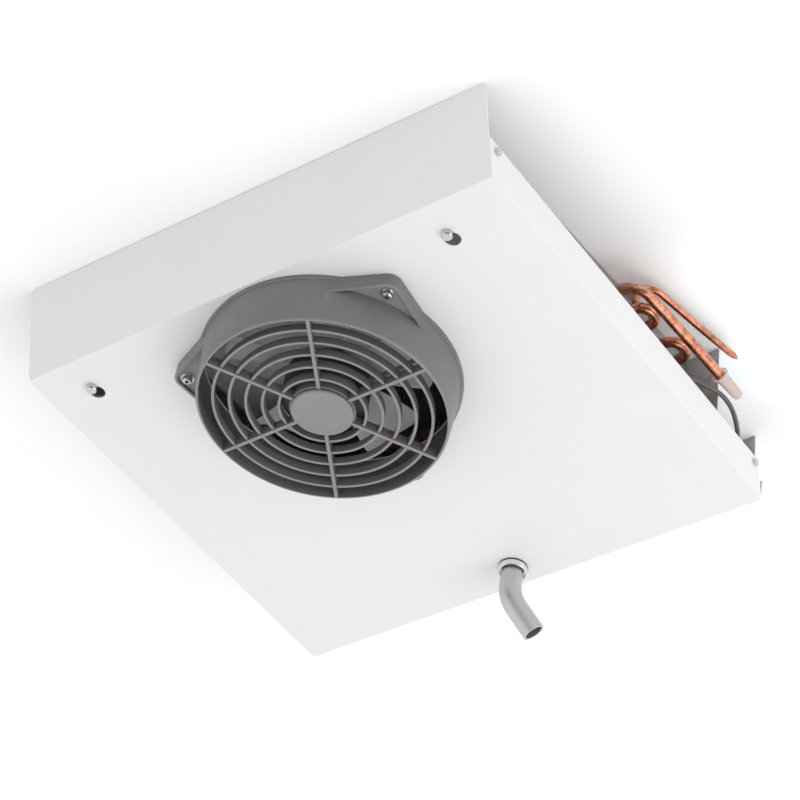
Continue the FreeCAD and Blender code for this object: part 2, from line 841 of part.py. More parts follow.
def make_fin_pack():
    """Fin block with its tube bores; grooves round it leave the edges of the fins standing."""
    body = new_body("fin_pack")
    front = "first_column - tube_pitch / 2"
    rear = "first_column + (column_count - 0.5) * tube_pitch"
    top = "-first_row + tube_pitch / 2 - fin_trim"
    low = "-first_row - (row_count - 0.5) * tube_pitch + fin_trim"
    half = "(web_half - plate_sheet - fin_end_gap)"
    block = sketch(body, "YZ_Plane", "-" + half)
    rectangle(block, front, low, rear, top)
    pad(body, block, "2 * " + half)
    bores = sketch(body, "YZ_Plane", "-" + half)
    for row, column in CIRCUIT:
        across, height = tube_place(row, column)
        circle(bores, across, height, "tube_radius + running_gap")
    pocket(body, bores, "2 * " + half, True)
    groove = sketch(body, "YZ_Plane", "-%s + fin_edge" % half)
    rectangle(groove, front, low, rear, top)
    rectangle(
        groove,
        "%s + fin_groove" % front,
        "%s + fin_groove" % low,
        "%s - fin_groove" % rear,
        "%s - fin_groove" % top,
    )
    first = pocket(body, groove, "fin_pitch - fin_edge", True)
    rows = body.newObject("PartDesign::LinearPattern", "FinRow")
    rows.Originals = [first]
    axis = [item for item in body.Origin.OriginFeatures if item.Role == "X_Axis"][0]
    rows.Direction = (axis, [""])
    rows.Mode = "Spacing"
    bind(rows, "Offset", "fin_pitch")
    bind(rows, "Occurrences", "floor((2 * %s - fin_edge) / fin_pitch)" % half)
    body.Tip = rows


# Copper lines

def slope_placement(back=0.0):
    slope = math.radians(size("slope"))
    lean = math.radians(size("lip_lean")) - slope
    depth = size("lip_length") * math.cos(lean) + size("pan_sheet") * math.sin(lean)
    place = Vector(
        size("pan_shift"),
        size("pan_front") + back * math.cos(slope),
        -depth - back * math.sin(slope),
    )
    return Placement(place, Rotation(Vector(-1, 0, 0), size("slope")))


def make_suction_line():
    wire = route_wire(SUCTION_ROUTE, size("suction_bend"))
    line = tube(wire, size("tube_radius"))
    end = Vector(*SUCTION_ROUTE[-1])
    heading = (end - Vector(*SUCTION_ROUTE[-2])).normalize()
    depth = size("suction_socket")
    bore = Part.makeCylinder(
        size("tube_radius") - size("suction_wall"),
        depth + 1,
        end - heading * depth,
        heading,
    )
    item = free_part("suction_line", line.cut(bore))
    item.Placement = slope_placement()


def make_suction_cap():
    """Thin plastic cap pushed over the open end of the suction line."""
    end = Vector(*SUCTION_ROUTE[-1])
    heading = (end - Vector(*SUCTION_ROUTE[-2])).normalize()
    inner = size("tube_radius") + size("running_gap")
    outer = inner + size("cap_wall")
    length = size("cap_length")
    start = end - heading * size("cap_overlap")
    shell = Part.makeCylinder(outer, length, start, heading)
    ring = Part.makeCylinder(outer + size("cap_ring"), size("cap_ring_width"), start, heading)
    hollow = Part.makeCylinder(inner, length - size("cap_wall"), start, heading)
    item = free_part("suction_cap", shell.fuse(ring).cut(hollow).removeSplitter())
    item.Placement = slope_placement()


def make_liquid_line():
    """Thin line, its free end pressed flat and closed."""
    wire = route_wire(LIQUID_ROUTE, size("liquid_bend"))
    line = tube(wire, size("liquid_radius"))
    end = Vector(*LIQUID_ROUTE[-1])
    heading = (end - Vector(*LIQUID_ROUTE[-2])).normalize()
    across = heading.cross(Vector(0, 0, 1)).normalize()
    radius = size("liquid_radius")
    profiles = []
    for step, wide, thick in PRESSED_STEPS:
        ellipse = Part.Ellipse(Vector(), radius * wide, radius * thick)
        edge = ellipse.toShape()
        frame = Rotation(across, heading.cross(across), heading, "ZXY")
        edge.Placement = Placement(end + heading * step, frame)
        profiles.append(Part.Wire([edge]))
    tip = Part.makeLoft(profiles, True, True)
    item = free_part("liquid_line", line.fuse(tip))
    item.Placement = slope_placement()


# Fan guard

def make_fan_guard():
    body = new_body("fan_guard")
    on_slope(body, "fan_back")
    revolve(body, (
        ("cone_base - 2 * guard_wall", "0"),
        ("base_radius", "0"),
        ("base_radius", "-base_height"),
        ("cone_base - 2 * guard_wall", "-base_height"),
    ))
    lug = add_lug(body)
    polar(body, lug, "lug_count")
    revolve(body, (
        ("cone_base - 2 * guard_wall", "0"),
        ("cone_base", "0"),
        ("cone_base", "-base_height"),
        ("rim_radius", "-guard_height + rim_round"),
        ("rim_radius - rim_round", "-guard_height"),
        ("rim_radius - 2 * guard_wall", "-guard_height"),
    ))
    revolve(body, (
        ("0", "1"),
        ("cone_base - guard_wall", "1"),
        ("cone_base - guard_wall", "-base_height"),
        ("rim_radius - guard_wall", "-guard_height + rim_round"),
        ("rim_radius - guard_wall", "-guard_height - 1"),
        ("0", "-guard_height - 1"),
    ), "PartDesign::Groove")
    add_spokes(body)
    add_rings(body)
    revolve(body, (
        ("0", "-guard_height + hub_depth - hub_floor"),
        ("hub_radius - hub_wall", "-guard_height + hub_depth - hub_floor"),
        ("hub_radius - hub_wall", "-guard_height + cap_disc"),
        ("hub_radius", "-guard_height + cap_disc"),
        ("hub_radius", "-guard_height + hub_depth"),
        ("0", "-guard_height + hub_depth"),
    ))
    cut_guard_holes(body)


def lug_outline(body, inset, offset):
    """Two straight flanks tangent to the round tip of the lug, closed by a chord."""
    flat = sketch(body, "XY_Plane", offset)
    angle = math.radians(size("lug_half_angle"))
    root = size("cone_base") - size("guard_wall") / 2
    tip = size("lug_radius")
    bend = size("lug_round") - (size("lug_wall") if inset else 0)
    left = Vector(-root * math.sin(angle), root * math.cos(angle), 0)
    right = Vector(-left.x, left.y, 0)
    touch = Vector(bend * 0.7, tip + bend * 0.7, 0)
    flat.addGeometry(Part.LineSegment(left, right))
    flat.addGeometry(Part.LineSegment(right, touch))
    arc = Part.Arc(touch, Vector(0, tip + bend, 0), Vector(-touch.x, touch.y, 0))
    flat.addGeometry(arc)
    flat.addGeometry(Part.LineSegment(Vector(-touch.x, touch.y, 0), left))
    flat.addConstraint(Sketcher.Constraint("Coincident", 0, 2, 1, 1))
    flat.addConstraint(Sketcher.Constraint("Tangent", 1, 2, 2, 1))
    flat.addConstraint(Sketcher.Constraint("Tangent", 2, 2, 3, 1))
    flat.addConstraint(Sketcher.Constraint("Coincident", 3, 2, 0, 1))
    shrink = "lug_wall" if inset else "0"
    height = "((cone_base - guard_wall / 2) * cos(lug_half_angle))"
    spread = "((cone_base - guard_wall / 2) * sin(lug_half_angle) - 1.6 * %s)" % shrink
    pin_point(flat, 0, 1, ("-" + spread, height))
    pin_point(flat, 0, 2, (spread, height))
    pin_point(flat, 2, 3, ("0", "lug_radius"))
    index = flat.addConstraint(Sketcher.Constraint("Radius", 2, bend))
    bind(flat, "Constraints[%d]" % index, "lug_round - %s" % shrink)
    return flat


def add_lug(body):
    """Hollow lug with a shallow tray for the screw and a boss that takes its pull."""
    block = pad(body, lug_outline(body, False, "0"), "lug_root_height", True)
    slant = sketch(body, "YZ_Plane")
    polygon(slant, (
        ("rim_radius - guard_wall", "-lug_root_height"),
        ("lug_radius + lug_round", "-lug_tip_height"),
        ("lug_radius + lug_round + 5", "-lug_tip_height"),
        ("lug_radius + lug_round + 5", "-lug_root_height - 5"),
        ("rim_radius - guard_wall", "-lug_root_height - 5"),
    ))
    slope_cut = pocket(body, slant)
    tray = pocket(body, lug_outline(body, True, "-lug_seat"), "lug_root_height", False)
    hollow = pocket(body, lug_outline(body, True, "-lug_seat + lug_floor"), "lug_seat", True)
    flat = sketch(body, "XY_Plane")
    circle(flat, "0", "lug_radius", "lug_boss")
    boss = pad(body, flat, "lug_seat - lug_floor / 2", True)
    return [block, slope_cut, tray, hollow, boss]


def add_spokes(body):
    flat = sketch(body, "XY_Plane", "-guard_height")
    rectangle(
        flat,
        "hub_radius - hub_wall / 2",
        "-spoke_width / 2",
        "rim_radius - guard_wall / 2",
        "spoke_width / 2",
    )
    spoke = pad(body, flat, "spoke_depth")
    polar(body, [spoke], "spoke_count")


def add_rings(body):
    flat = sketch(body, "XZ_Plane")
    for index in range(int(size("ring_count"))):
        middle = "ring_first + %d * ring_step" % index
        rectangle(
            flat,
            "%s - ring_width / 2" % middle,
            "-guard_height + ring_recess",
            "%s + ring_width / 2" % middle,
            "-guard_height + ring_recess + ring_depth",
        )
    feature = body.newObject("PartDesign::Revolution", "Rings")
    feature.Profile = flat
    feature.ReferenceAxis = (flat, ["V_Axis"])
    feature.Angle = 360.0


def cut_guard_holes(body):
    flat = sketch(body, "XY_Plane")
    circle(flat, "0", "lug_radius", "guard_screw_radius + seat_gap")
    lugs = pocket(body, flat, "lug_root_height")
    polar(body, [lugs], "lug_count")
    flat = sketch(body, "XY_Plane", "-guard_height + hub_depth + 1")
    circle(flat, "0", "motor_screw_circle", "motor_screw_radius + seat_gap")
    screws = pocket(body, flat, "hub_depth")
    polar(body, [screws], "lug_count")


def make_hub_cap():
    """Plain snap-in disc over the motor screws."""
    body = new_body("hub_cap")
    on_slope(body, "fan_back")
    low = "-guard_height"
    disc = "hub_radius - hub_wall / 2 - fit_gap"
    skirt = "hub_radius - hub_wall - fit_gap"
    revolve(body, (
        ("0", low),
        ("%s - rim_round / 2" % disc, low),
        (disc, "-guard_height + rim_round / 2"),
        (disc, "-guard_height + cap_disc"),
        (skirt, "-guard_height + cap_disc"),
        (skirt, "-guard_height + cap_disc + hub_wall"),
        ("%s - cap_skirt" % skirt, "-guard_height + cap_disc + hub_wall"),
        ("%s - cap_skirt" % skirt, "-guard_height + cap_disc"),
        ("0", "-guard_height + cap_disc"),
    ))


# Motor and rotor, heights counted from the pan's underside at the fan axis

MOTOR_LOW = "-motor_base"
MOTOR_TOP = "(-motor_base + motor_length)"


def make_motor():
    housing = new_body("motor_housing")
    on_slope(housing, "fan_back")
    revolve(housing, (
        ("shaft_radius + 1", "%s + motor_wall" % MOTOR_LOW),
        ("bearing_radius", "%s + motor_wall" % MOTOR_LOW),
        ("bearing_radius", "%s + motor_wall + bearing_height" % MOTOR_LOW),
        ("bearing_radius + motor_wall", "%s + motor_wall + bearing_height" % MOTOR_LOW),
        ("bearing_radius + motor_wall", "%s + motor_wall" % MOTOR_LOW),
        ("motor_radius - motor_wall", "%s + motor_wall" % MOTOR_LOW),
        ("motor_radius - motor_wall", MOTOR_TOP),
        ("motor_radius", MOTOR_TOP),
        ("motor_radius", "%s + motor_wall" % MOTOR_LOW),
        ("motor_radius - motor_wall", MOTOR_LOW),
        ("shaft_radius + 1", MOTOR_LOW),
    ))
    flat = sketch(housing, "XY_Plane", "%s + 2 * motor_wall" % MOTOR_LOW)
    circle(flat, "0", "motor_screw_circle", "motor_screw_radius + running_gap")
    screws = pocket(housing, flat, "3 * motor_wall")
    polar(housing, [screws], "lug_count")
    cover = new_body("motor_end_cover")
    on_slope(cover, "fan_back")
    revolve(cover, (
        ("shaft_radius + 1", "%s + cover_thickness" % MOTOR_TOP),
        ("shaft_radius + 1", "%s + cover_thickness - 1" % MOTOR_TOP),
        ("bearing_radius", "%s + cover_thickness - 1" % MOTOR_TOP),
        ("bearing_radius", "%s - bearing_height + cover_thickness - 1" % MOTOR_TOP),
        ("bearing_radius + motor_wall", "%s - bearing_height + cover_thickness - 1" % MOTOR_TOP),
        ("bearing_radius + motor_wall", MOTOR_TOP),
        ("motor_radius", MOTOR_TOP),
        ("motor_radius - 1", "%s + cover_thickness" % MOTOR_TOP),
    ))
    stator = new_body("motor_stator")
    on_slope(stator, "fan_back")
    middle = "(-motor_base + motor_length / 2)"
    outer = "motor_radius - motor_wall"
    revolve(stator, (
        ("stator_inner", "%s - stator_height / 2" % middle),
        (outer, "%s - stator_height / 2" % middle),
        (outer, "%s + stator_height / 2" % middle),
        ("stator_inner", "%s + stator_height / 2" % middle),
    ))
    core = new_body("rotor_core")
    on_slope(core, "fan_back")
    revolve(core, (
        ("shaft_radius", "%s - stator_height / 2" % middle),
        ("stator_inner - core_gap", "%s - stator_height / 2" % middle),
        ("stator_inner - core_gap", "%s + stator_height / 2" % middle),
        ("shaft_radius", "%s + stator_height / 2" % middle),
    ))


def make_bearing(label, low):
    body = new_body(label)
    on_slope(body, "fan_back")
    revolve(body, (
        ("shaft_radius + running_gap", low),
        ("bearing_radius", low),
        ("bearing_radius", "%s + bearing_height" % low),
        ("shaft_radius + running_gap", "%s + bearing_height" % low),
    ))


def make_shaft():
    body = new_body("fan_shaft")
    on_slope(body, "fan_back")
    revolve(body, (
        ("0", "%s + motor_wall + 1" % MOTOR_LOW),
        ("shaft_radius", "%s + motor_wall + 1" % MOTOR_LOW),
        ("shaft_radius", "shaft_top"),
        ("0", "shaft_top"),
    ))


def blade_section(body, reach, chord, pitch, sweep, middle):
    """Thin cambered section, square to the blade's length."""
    flat = sketch(body, "XZ_Plane", "-(%s)" % reach)
    half = "(%s) / 2" % chord
    edge = "blade_thickness / 2"

    def place(along, across):
        return (
            "%s + (%s) * cos(%s) - (%s) * sin(%s)" % (sweep, along, pitch, across, pitch),
            "%s + (%s) * sin(%s) + (%s) * cos(%s)" % (middle, along, pitch, across, pitch),
        )

    camber = "(%s) * 0.09" % chord
    polygon(flat, (
        place("-(%s)" % half, "0"),
        place("0", "-(%s) + (%s)" % (edge, camber)),
        place(half, "0"),
        place("0", "%s + (%s)" % (edge, camber)),
    ))
    return flat


def make_impeller():
    body = new_body("impeller")
    on_slope(body, "fan_back")
    revolve(body, (
        ("shaft_radius + running_gap", "impeller_hub_base"),
        ("impeller_hub", "impeller_hub_base"),
        ("impeller_hub", "impeller_hub_top - 2"),
        ("impeller_hub - 2", "impeller_hub_top"),
        ("shaft_radius + running_gap", "impeller_hub_top"),
    ))
    sections = [
        blade_section(body, "blade_root", "root_chord", "root_pitch", "0", "root_middle"),
        blade_section(body, "blade_mid", "mid_chord", "mid_pitch", "mid_sweep", "mid_middle"),
        blade_section(body, "blade_tip", "tip_chord", "tip_pitch", "tip_sweep", "tip_middle"),
    ]
    blade = body.newObject("PartDesign::AdditiveLoft", "Blade")
    blade.Profile = sections[0]
    blade.Sections = sections[1:]
    polar(body, [blade], "blade_count")


# Fasteners, each kind as one group of separate solids

def turned(body, corners, across="0", along="0"):
    """Revolve an outline about a vertical line through a point of the body's plane."""
    flat = sketch(body, "XZ_Plane", "-(%s)" % along)
    polygon(flat, [("(%s) + (%s)" % (across, radius), height) for radius, height in corners])
    line = flat.addGeometry(Part.LineSegment(Vector(0, 0, 0), Vector(0, 10, 0)), True)
    pin_point(flat, line, 1, (across, "0"))
    pin_point(flat, line, 2, (across, "10"))
    feature = body.newObject("PartDesign::Revolution", flat.Name + "Turn")
    feature.Profile = flat
    feature.ReferenceAxis = (flat, ["Axis0"])
    feature.Angle = 360.0
    return feature


def make_guard_fasteners():
    washer_low = "-lug_seat - washer_height"
    screws = new_body("guard_screws")
    on_slope(screws, "fan_back")
    head_low = "%s - guard_head_height" % washer_low
    screw = turned(screws, (
        ("0", head_low),
        ("guard_head_radius * 0.6", head_low),
        ("guard_head_radius", "%s + guard_head_height * 0.5" % head_low),
        ("guard_head_radius", washer_low),
        ("guard_screw_radius", washer_low),
        ("guard_screw_radius", "pan_sheet + nut_height + thread_end"),
        ("0", "pan_sheet + nut_height + thread_end"),
    ), "0", "lug_radius")
    polar(screws, [screw], "lug_count")
    washers = new_body("guard_washers")
    on_slope(washers, "fan_back")
    washer = turned(washers, (
        ("guard_screw_radius + running_gap", washer_low),
        ("washer_radius", washer_low),
        ("washer_radius", "-lug_seat"),
        ("guard_screw_radius + running_gap", "-lug_seat"),
    ), "0", "lug_radius")
    polar(washers, [washer], "lug_count")
    nuts = new_body("guard_nuts")
    on_slope(nuts, "fan_back")
    nut = turned(nuts, (
        ("guard_screw_radius + running_gap", "pan_sheet"),
        ("nut_radius", "pan_sheet"),
        ("nut_radius", "pan_sheet + nut_height"),
        ("guard_screw_radius + running_gap", "pan_sheet + nut_height"),
    ), "0", "lug_radius")
    polar(nuts, [nut], "lug_count")


def make_motor_screws():
    body = new_body("motor_screws")
    on_slope(body, "fan_back")
    seat = "(-guard_height + hub_depth - hub_floor)"
    screw = turned(body, (
        ("0", "%s - motor_head_height" % seat),
        ("motor_screw_head", "%s - motor_head_height" % seat),
        ("motor_screw_head", seat),
        ("motor_screw_radius", seat),
        ("motor_screw_radius", "%s + motor_screw_length" % seat),
        ("0", "%s + motor_screw_length" % seat),
    ), "0", "motor_screw_circle")
    polar(body, [screw], "lug_count")


def make_impeller_nut():
    body = new_body("impeller_nut")
    on_slope(body, "fan_back")
    flat = sketch(body, "XY_Plane", "impeller_hub_top")
    corners = []
    for index in range(6):
        angle = "(%d * 60)" % index
        corners.append(("shaft_nut_radius * cos(%s)" % angle, "shaft_nut_radius * sin(%s)" % angle))
    polygon(flat, corners)
    circle(flat, "0", "0", "shaft_radius + running_gap")
    pad(body, flat, "nut_height")


def make_key_screws():
    """Shouldered screws on which the pan hangs by its keyholes, with their nuts."""
    screws = new_body("keyhole_screws")
    on_slope(screws)
    nuts = new_body("keyhole_nuts")
    on_slope(nuts)
    seat = "-seat_gap / 2"
    tab_top = "pan_sheet + seat_gap + plate_sheet"
    for side in ("-1", "1"):
        across = KEY_ACROSS % side
        turned(screws, (
            ("0", "%s - key_head_height" % seat),
            ("key_head_radius - 1", "%s - key_head_height" % seat),
            ("key_head_radius", "%s - key_head_height + 1" % seat),
            ("key_head_radius", seat),
            ("key_screw_radius", seat),
            ("key_screw_radius", "%s + nut_height + thread_end" % tab_top),
            ("0", "%s + nut_height + thread_end" % tab_top),
        ), across, "key_back - key_travel")
        turned(nuts, (
            ("key_screw_radius + running_gap", tab_top),
            ("nut_radius", tab_top),
            ("nut_radius", "%s + nut_height" % tab_top),
            ("key_screw_radius + running_gap", "%s + nut_height" % tab_top),
        ), across, "key_back - key_travel")


def make_side_screws():
    """Four screws through the pan's side walls into the ears of the side plates."""
    screws = []
    for side, axis in (("-1", "X"), ("1", "-X")):
        outside = "%s * pan_width / 2" % side
        for back in ("side_screw_front", "side_screw_rear"):
            name = "SideScrew%s%s" % ("L" if axis == "X" else "R", back[-4:])
            head = cylinder(
                name + "Head",
                "head_radius",
                "head_height",
                ("%s + %s * head_height" % (outside, side), back, "side_screw_rise"),
                axis,
            )
            shank = cylinder(
                name + "Shank",
                "screw_radius - running_gap",
                "side_screw_length + head_height",
                ("%s + %s * head_height" % (outside, side), back, "side_screw_rise"),
                axis,
            )
            screws.append(fuse(name, [head, shank]))
    item = group("SideScrews", screws)
    on_slope(item)
    keep(item, "pan_side_screws")


# Drain

def make_drain():
    gasket = new_body("drain_gasket")
    on_slope(gasket, "drain_back")
    revolve(gasket, (
        ("drain_radius + running_gap", "-gasket_height"),
        ("collar_radius", "-gasket_height"),
        ("collar_radius", "0"),
        ("drain_radius + running_gap", "0"),
    ))
    collar = new_body("drain_collar")
    on_slope(collar, "drain_back")
    low = "-gasket_height - collar_height"
    revolve(collar, (
        ("drain_radius + running_gap", low),
        ("collar_radius - 1", low),
        ("collar_radius", "%s + 1" % low),
        ("collar_radius", "-gasket_height"),
        ("drain_radius + running_gap", "-gasket_height"),
    ))
    lock = new_body("drain_locknut")
    on_slope(lock, "drain_back")
    flat = sketch(lock, "XY_Plane", "pan_sheet")
    corners = []
    for index in range(6):
        angle = "(%d * 60)" % index
        corners.append(("drain_lock_radius * cos(%s)" % angle, "drain_lock_radius * sin(%s)" % angle))
    polygon(flat, corners)
    circle(flat, "0", "0", "drain_radius + running_gap")
    pad(lock, flat, "drain_rise - pan_sheet")
    make_spout()


def spout_route():
    turn = math.radians(size("spout_turn"))
    heading = math.radians(size("spout_heading"))
    low = Vector(0, 0, -size("spout_drop"))
    run = Vector(
        math.sin(turn) * math.sin(heading),
        math.sin(turn) * math.cos(heading),
        -math.cos(turn),
    )
    return ((0, 0, size("drain_rise")), tuple(low), tuple(low + run * size("spout_run")))


def make_spout():
    wire = route_wire(spout_route(), size("spout_bend"))
    shape = tube(wire, size("drain_radius")).cut(tube(wire, size("drain_bore")))
    item = free_part("drain_spout", shape)
    item.Placement = slope_placement(size("drain_back"))


# Electrics

def make_terminal_box():
    inner = "web_half - plate_sheet"
    entry_back, entry_rise = crossing(-2)
    front = "(%s - box_ahead)" % entry_back
    rear = "(%s + box_length)" % front
    low = "(%s - box_below)" % entry_rise
    top = "(%s + box_height)" % low
    box = new_body("terminal_box")
    flat = sketch(box, "YZ_Plane", inner)
    rectangle(flat, front, low, rear, top)
    pad(box, flat, "box_width", True)
    inside = sketch(box, "YZ_Plane", "%s - box_wall" % inner)
    rectangle(
        inside,
        "%s + box_wall" % front,
        "%s + box_wall" % low,
        "%s - box_wall" % rear,
        "%s - box_wall" % top,
    )
    pocket(box, inside, "box_width")
    entry = sketch(box, "YZ_Plane", inner)
    circle(entry, entry_back, entry_rise, "gland_thread + fit_gap")
    pocket(box, entry, "box_wall + 1")
    lid = new_body("terminal_box_lid")
    flat = sketch(lid, "YZ_Plane", "%s - box_width" % inner)
    rectangle(flat, front, low, rear, top)
    pad(lid, flat, "box_lid", True)


def along_x(label, steps, bore, place):
    """Stack of round steps on a line along X, each as (start, end, radius), with one bore."""
    across, height = place
    pieces = []
    for index, (start, end, radius) in enumerate(steps):
        name = "%sStep%d" % (label.title().replace("_", ""), index)
        length = "(%s) - (%s)" % (end, start)
        pieces.append(cylinder(name, radius, length, (start, across, height), "X"))
    low = steps[0][0]
    high = steps[-1][1]
    hole = cylinder(
        label.title().replace("_", "") + "Bore",
        bore,
        "(%s) - (%s) + 2" % (high, low),
        ("%s - 1" % low, across, height),
        "X",
    )
    solid = fuse(label.title().replace("_", "") + "Body", pieces)
    return cut(label.title().replace("_", "") + "Cut", solid, hole)


def make_cable_fittings():
    inner = "web_half - plate_sheet"
    keep(along_x("web_grommet", (
        ("%s - grommet_lip" % inner, inner, "grommet_flange"),
        (inner, "web_half", "grommet_neck"),
        ("web_half", "web_half + grommet_lip", "grommet_flange"),
    ), "grommet_bore", crossing(8)), "web_grommet")
    keep(along_x("cable_gland", (
        ("%s - gland_thread_length" % inner, "web_half", "gland_thread"),
        ("web_half", "web_half + gland_length", "gland_radius"),
    ), "gland_bore", crossing(-2)), "cable_gland")
    height = str(CABLE_ROUTE[0][2])
    stub = cylinder("BossStub", "boss_radius", "boss_length", ("boss_start", "0", height), "X")
    barrel = cylinder("BossBarrel", "motor_radius", "motor_length", ("0", "0", MOTOR_LOW))
    boss = cut("MotorBoss", stub, barrel)
    on_slope(boss, "fan_back")
    keep(boss, "motor_cable_boss")


def make_power_cable():
    wire = route_wire(CABLE_ROUTE)
    shape = tube(wire, size("cable_radius"))
    item = free_part("power_cable", shape)
    item.Placement = slope_placement()
    expected = math.pi * size("cable_radius") ** 2 * wire.Length
    print("cable length %.1f, volume ratio %.4f" % (wire.Length, shape.Volume / expected))
    print("cable bend radii", bend_radii(CABLE_ROUTE))


def write_parts():
    DOC.recompute()
    for item in DOC.Objects:
        if "Invalid" in item.State or "Error" in item.State:
            raise RuntimeError("failed: %s %s" % (item.Name, item.State))
    os.makedirs("parts", exist_ok=True)
    for item in PARTS:
        shape = item.Shape
        if shape.isNull() or not shape.isValid() or not shape.Solids:
            raise RuntimeError("bad shape: " + item.Label)
    for item in PARTS:
        item.Shape.exportStep("parts/%s.step" % item.Label)
        box = item.Shape.BoundBox
        print("%-20s %2d solids %10.0f  X %.1f %.1f  Y %.1f %.1f  Z %.1f %.1f" % (
            item.Label, len(item.Shape.Solids), item.Shape.Volume,
            box.XMin, box.XMax, box.YMin, box.YMax, box.ZMin, box.ZMax,
        ))


fill_sheet()
make_drip_pan()
make_side_plate("side_plate_left", -1)
make_side_plate("side_plate_right", 1)
make_side_baffle()
make_hairpins()
make_return_bends()
make_fin_pack()
make_suction_line()
make_suction_cap()
make_liquid_line()
make_fan_guard()
make_hub_cap()
make_motor()
make_bearing("bearing_lower", "%s + motor_wall" % MOTOR_LOW)
make_bearing("bearing_upper", "%s - bearing_height + cover_thickness - 1" % MOTOR_TOP)
make_shaft()
make_impeller()
make_impeller_nut()
make_guard_fasteners()
make_motor_screws()
make_key_screws()
make_side_screws()
make_drain()
make_terminal_box()
make_cable_fittings()
make_power_cable()
write_parts()
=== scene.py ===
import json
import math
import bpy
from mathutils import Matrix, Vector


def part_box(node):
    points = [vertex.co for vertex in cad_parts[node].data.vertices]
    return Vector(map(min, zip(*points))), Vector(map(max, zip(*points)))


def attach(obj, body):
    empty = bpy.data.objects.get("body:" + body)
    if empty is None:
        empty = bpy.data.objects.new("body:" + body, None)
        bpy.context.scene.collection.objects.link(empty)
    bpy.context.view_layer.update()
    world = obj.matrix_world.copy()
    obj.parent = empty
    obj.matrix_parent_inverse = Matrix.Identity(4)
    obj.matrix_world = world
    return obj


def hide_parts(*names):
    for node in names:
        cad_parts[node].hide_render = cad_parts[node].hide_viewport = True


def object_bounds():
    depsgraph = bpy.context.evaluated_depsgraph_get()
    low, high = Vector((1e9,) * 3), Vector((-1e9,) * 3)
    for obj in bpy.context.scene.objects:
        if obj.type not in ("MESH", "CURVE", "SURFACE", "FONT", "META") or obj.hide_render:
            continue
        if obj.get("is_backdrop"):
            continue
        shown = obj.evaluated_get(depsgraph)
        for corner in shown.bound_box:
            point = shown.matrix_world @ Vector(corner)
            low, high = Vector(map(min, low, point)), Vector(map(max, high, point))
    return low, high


bl_info = {
    "name": "Ceiling Unit Cooler",
    "version": (1, 0, 0),
    "blender": (4, 5, 0),
    "location": "View3D > Sidebar > Cooler",
    "description": "Dresses the ceiling unit cooler: sheet metal, moulded fan, coil and copper",
    "category": "Object",
}

import bmesh
import bpy
from bpy.props import FloatProperty, FloatVectorProperty, IntProperty, PointerProperty
from mathutils import Matrix, Vector

MM = 0.001

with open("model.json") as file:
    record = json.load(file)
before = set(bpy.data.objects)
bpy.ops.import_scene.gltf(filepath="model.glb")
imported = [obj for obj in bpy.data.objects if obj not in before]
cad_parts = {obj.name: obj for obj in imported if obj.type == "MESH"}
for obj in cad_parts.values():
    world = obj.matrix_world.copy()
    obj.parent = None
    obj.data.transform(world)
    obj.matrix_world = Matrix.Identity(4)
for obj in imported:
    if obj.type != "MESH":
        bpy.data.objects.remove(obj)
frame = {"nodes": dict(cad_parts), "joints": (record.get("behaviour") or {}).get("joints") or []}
CAD_LOW, CAD_HIGH = (corner.copy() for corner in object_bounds())

# The fan's axis gives the slope of the pan, and with it every place on the pan.
FAN = frame["joints"][0]
ACROSS = Vector((1, 0, 0))
UPWARD = Vector(FAN["axis"]).normalized()
BACKWARD = UPWARD.cross(ACROSS)
FAN_PLACE = Matrix.Translation(Vector(FAN["pos_m"])) @ Matrix(
    (ACROSS, BACKWARD, UPWARD)
).transposed().to_4x4()
# Distances back along the pan from its front fold, and of the keyholes from the fold's middle.
FAN_BACK = 119 * MM
DRAIN_BACK = 405 * MM
KEY_BACK = 40.5 * MM
KEY_ACROSS = {-1: -203 * MM, 1: 184 * MM}
PAN_PLACE = FAN_PLACE @ Matrix.Translation((0, -FAN_BACK, 0))

# The two bodies.
STILL = "cooler"
TURNING = "fan_rotor"

# Points of the cable in the pan's own frame, in millimetres: sideways from the middle of the
# front fold, back along the pan and up from it.
CABLE_ROUTE = (
    (44.0, 119.0, -31.5),
    (70.0, 119.0, -31.5),
    (94.0, 119.0, -31.0),
    (106.5, 119.0, -17.0),
    (108.0, 119.0, 4.0),
    (118.0, 116.0, 24.0),
    (142.0, 109.0, 36.0),
    (171.0, 99.0, 40.0),
    (200.0, 91.0, 41.5),
    (226.0, 87.0, 43.0),
    (239.0, 97.0, 50.0),
    (241.5, 120.0, 54.0),
    (241.5, 150.0, 47.0),
    (241.5, 184.0, 37.0),
    (241.5, 224.0, 34.0),
    (241.5, 264.0, 36.0),
    (242.5, 300.0, 45.0),
    (247.0, 325.0, 55.0),
    (252.5, 347.0, 60.0),
    (251.5, 368.0, 61.0),
    (247.0, 386.0, 54.0),
    (244.0, 393.0, 41.0),
    (239.0, 394.0, 31.0),
    (231.0, 391.0, 25.0),
    (218.0, 391.0, 25.0),
)

# Corner points of the thick and the thin copper tube, in the same frame.
SUCTION_ROUTE = (
    (226.0, 213.5, 77.9),
    (231.0, 213.5, 77.9),
    (252.0, 213.5, 70.6),
    (254.0, 250.0, 70.7),
    (257.0, 290.0, 68.5),
    (259.5, 335.0, 67.0),
)
LIQUID_ROUTE = (
    (215.0, 213.5, 52.4),
    (236.0, 213.5, 52.4),
    (238.0, 225.0, 62.0),
    (240.0, 227.0, 91.0),
    (250.0, 242.0, 92.8),
    (257.0, 290.0, 94.8),
    (263.0, 340.0, 100.0),
)
# The coil's tubes as (row, column) in the order in which the refrigerant passes them.
CIRCUIT = (
    (0, 0), (0, 1), (0, 2), (0, 3), (0, 4), (1, 4), (2, 4),
    (2, 3), (1, 3), (1, 2), (2, 2), (2, 1), (1, 1), (1, 0),
)
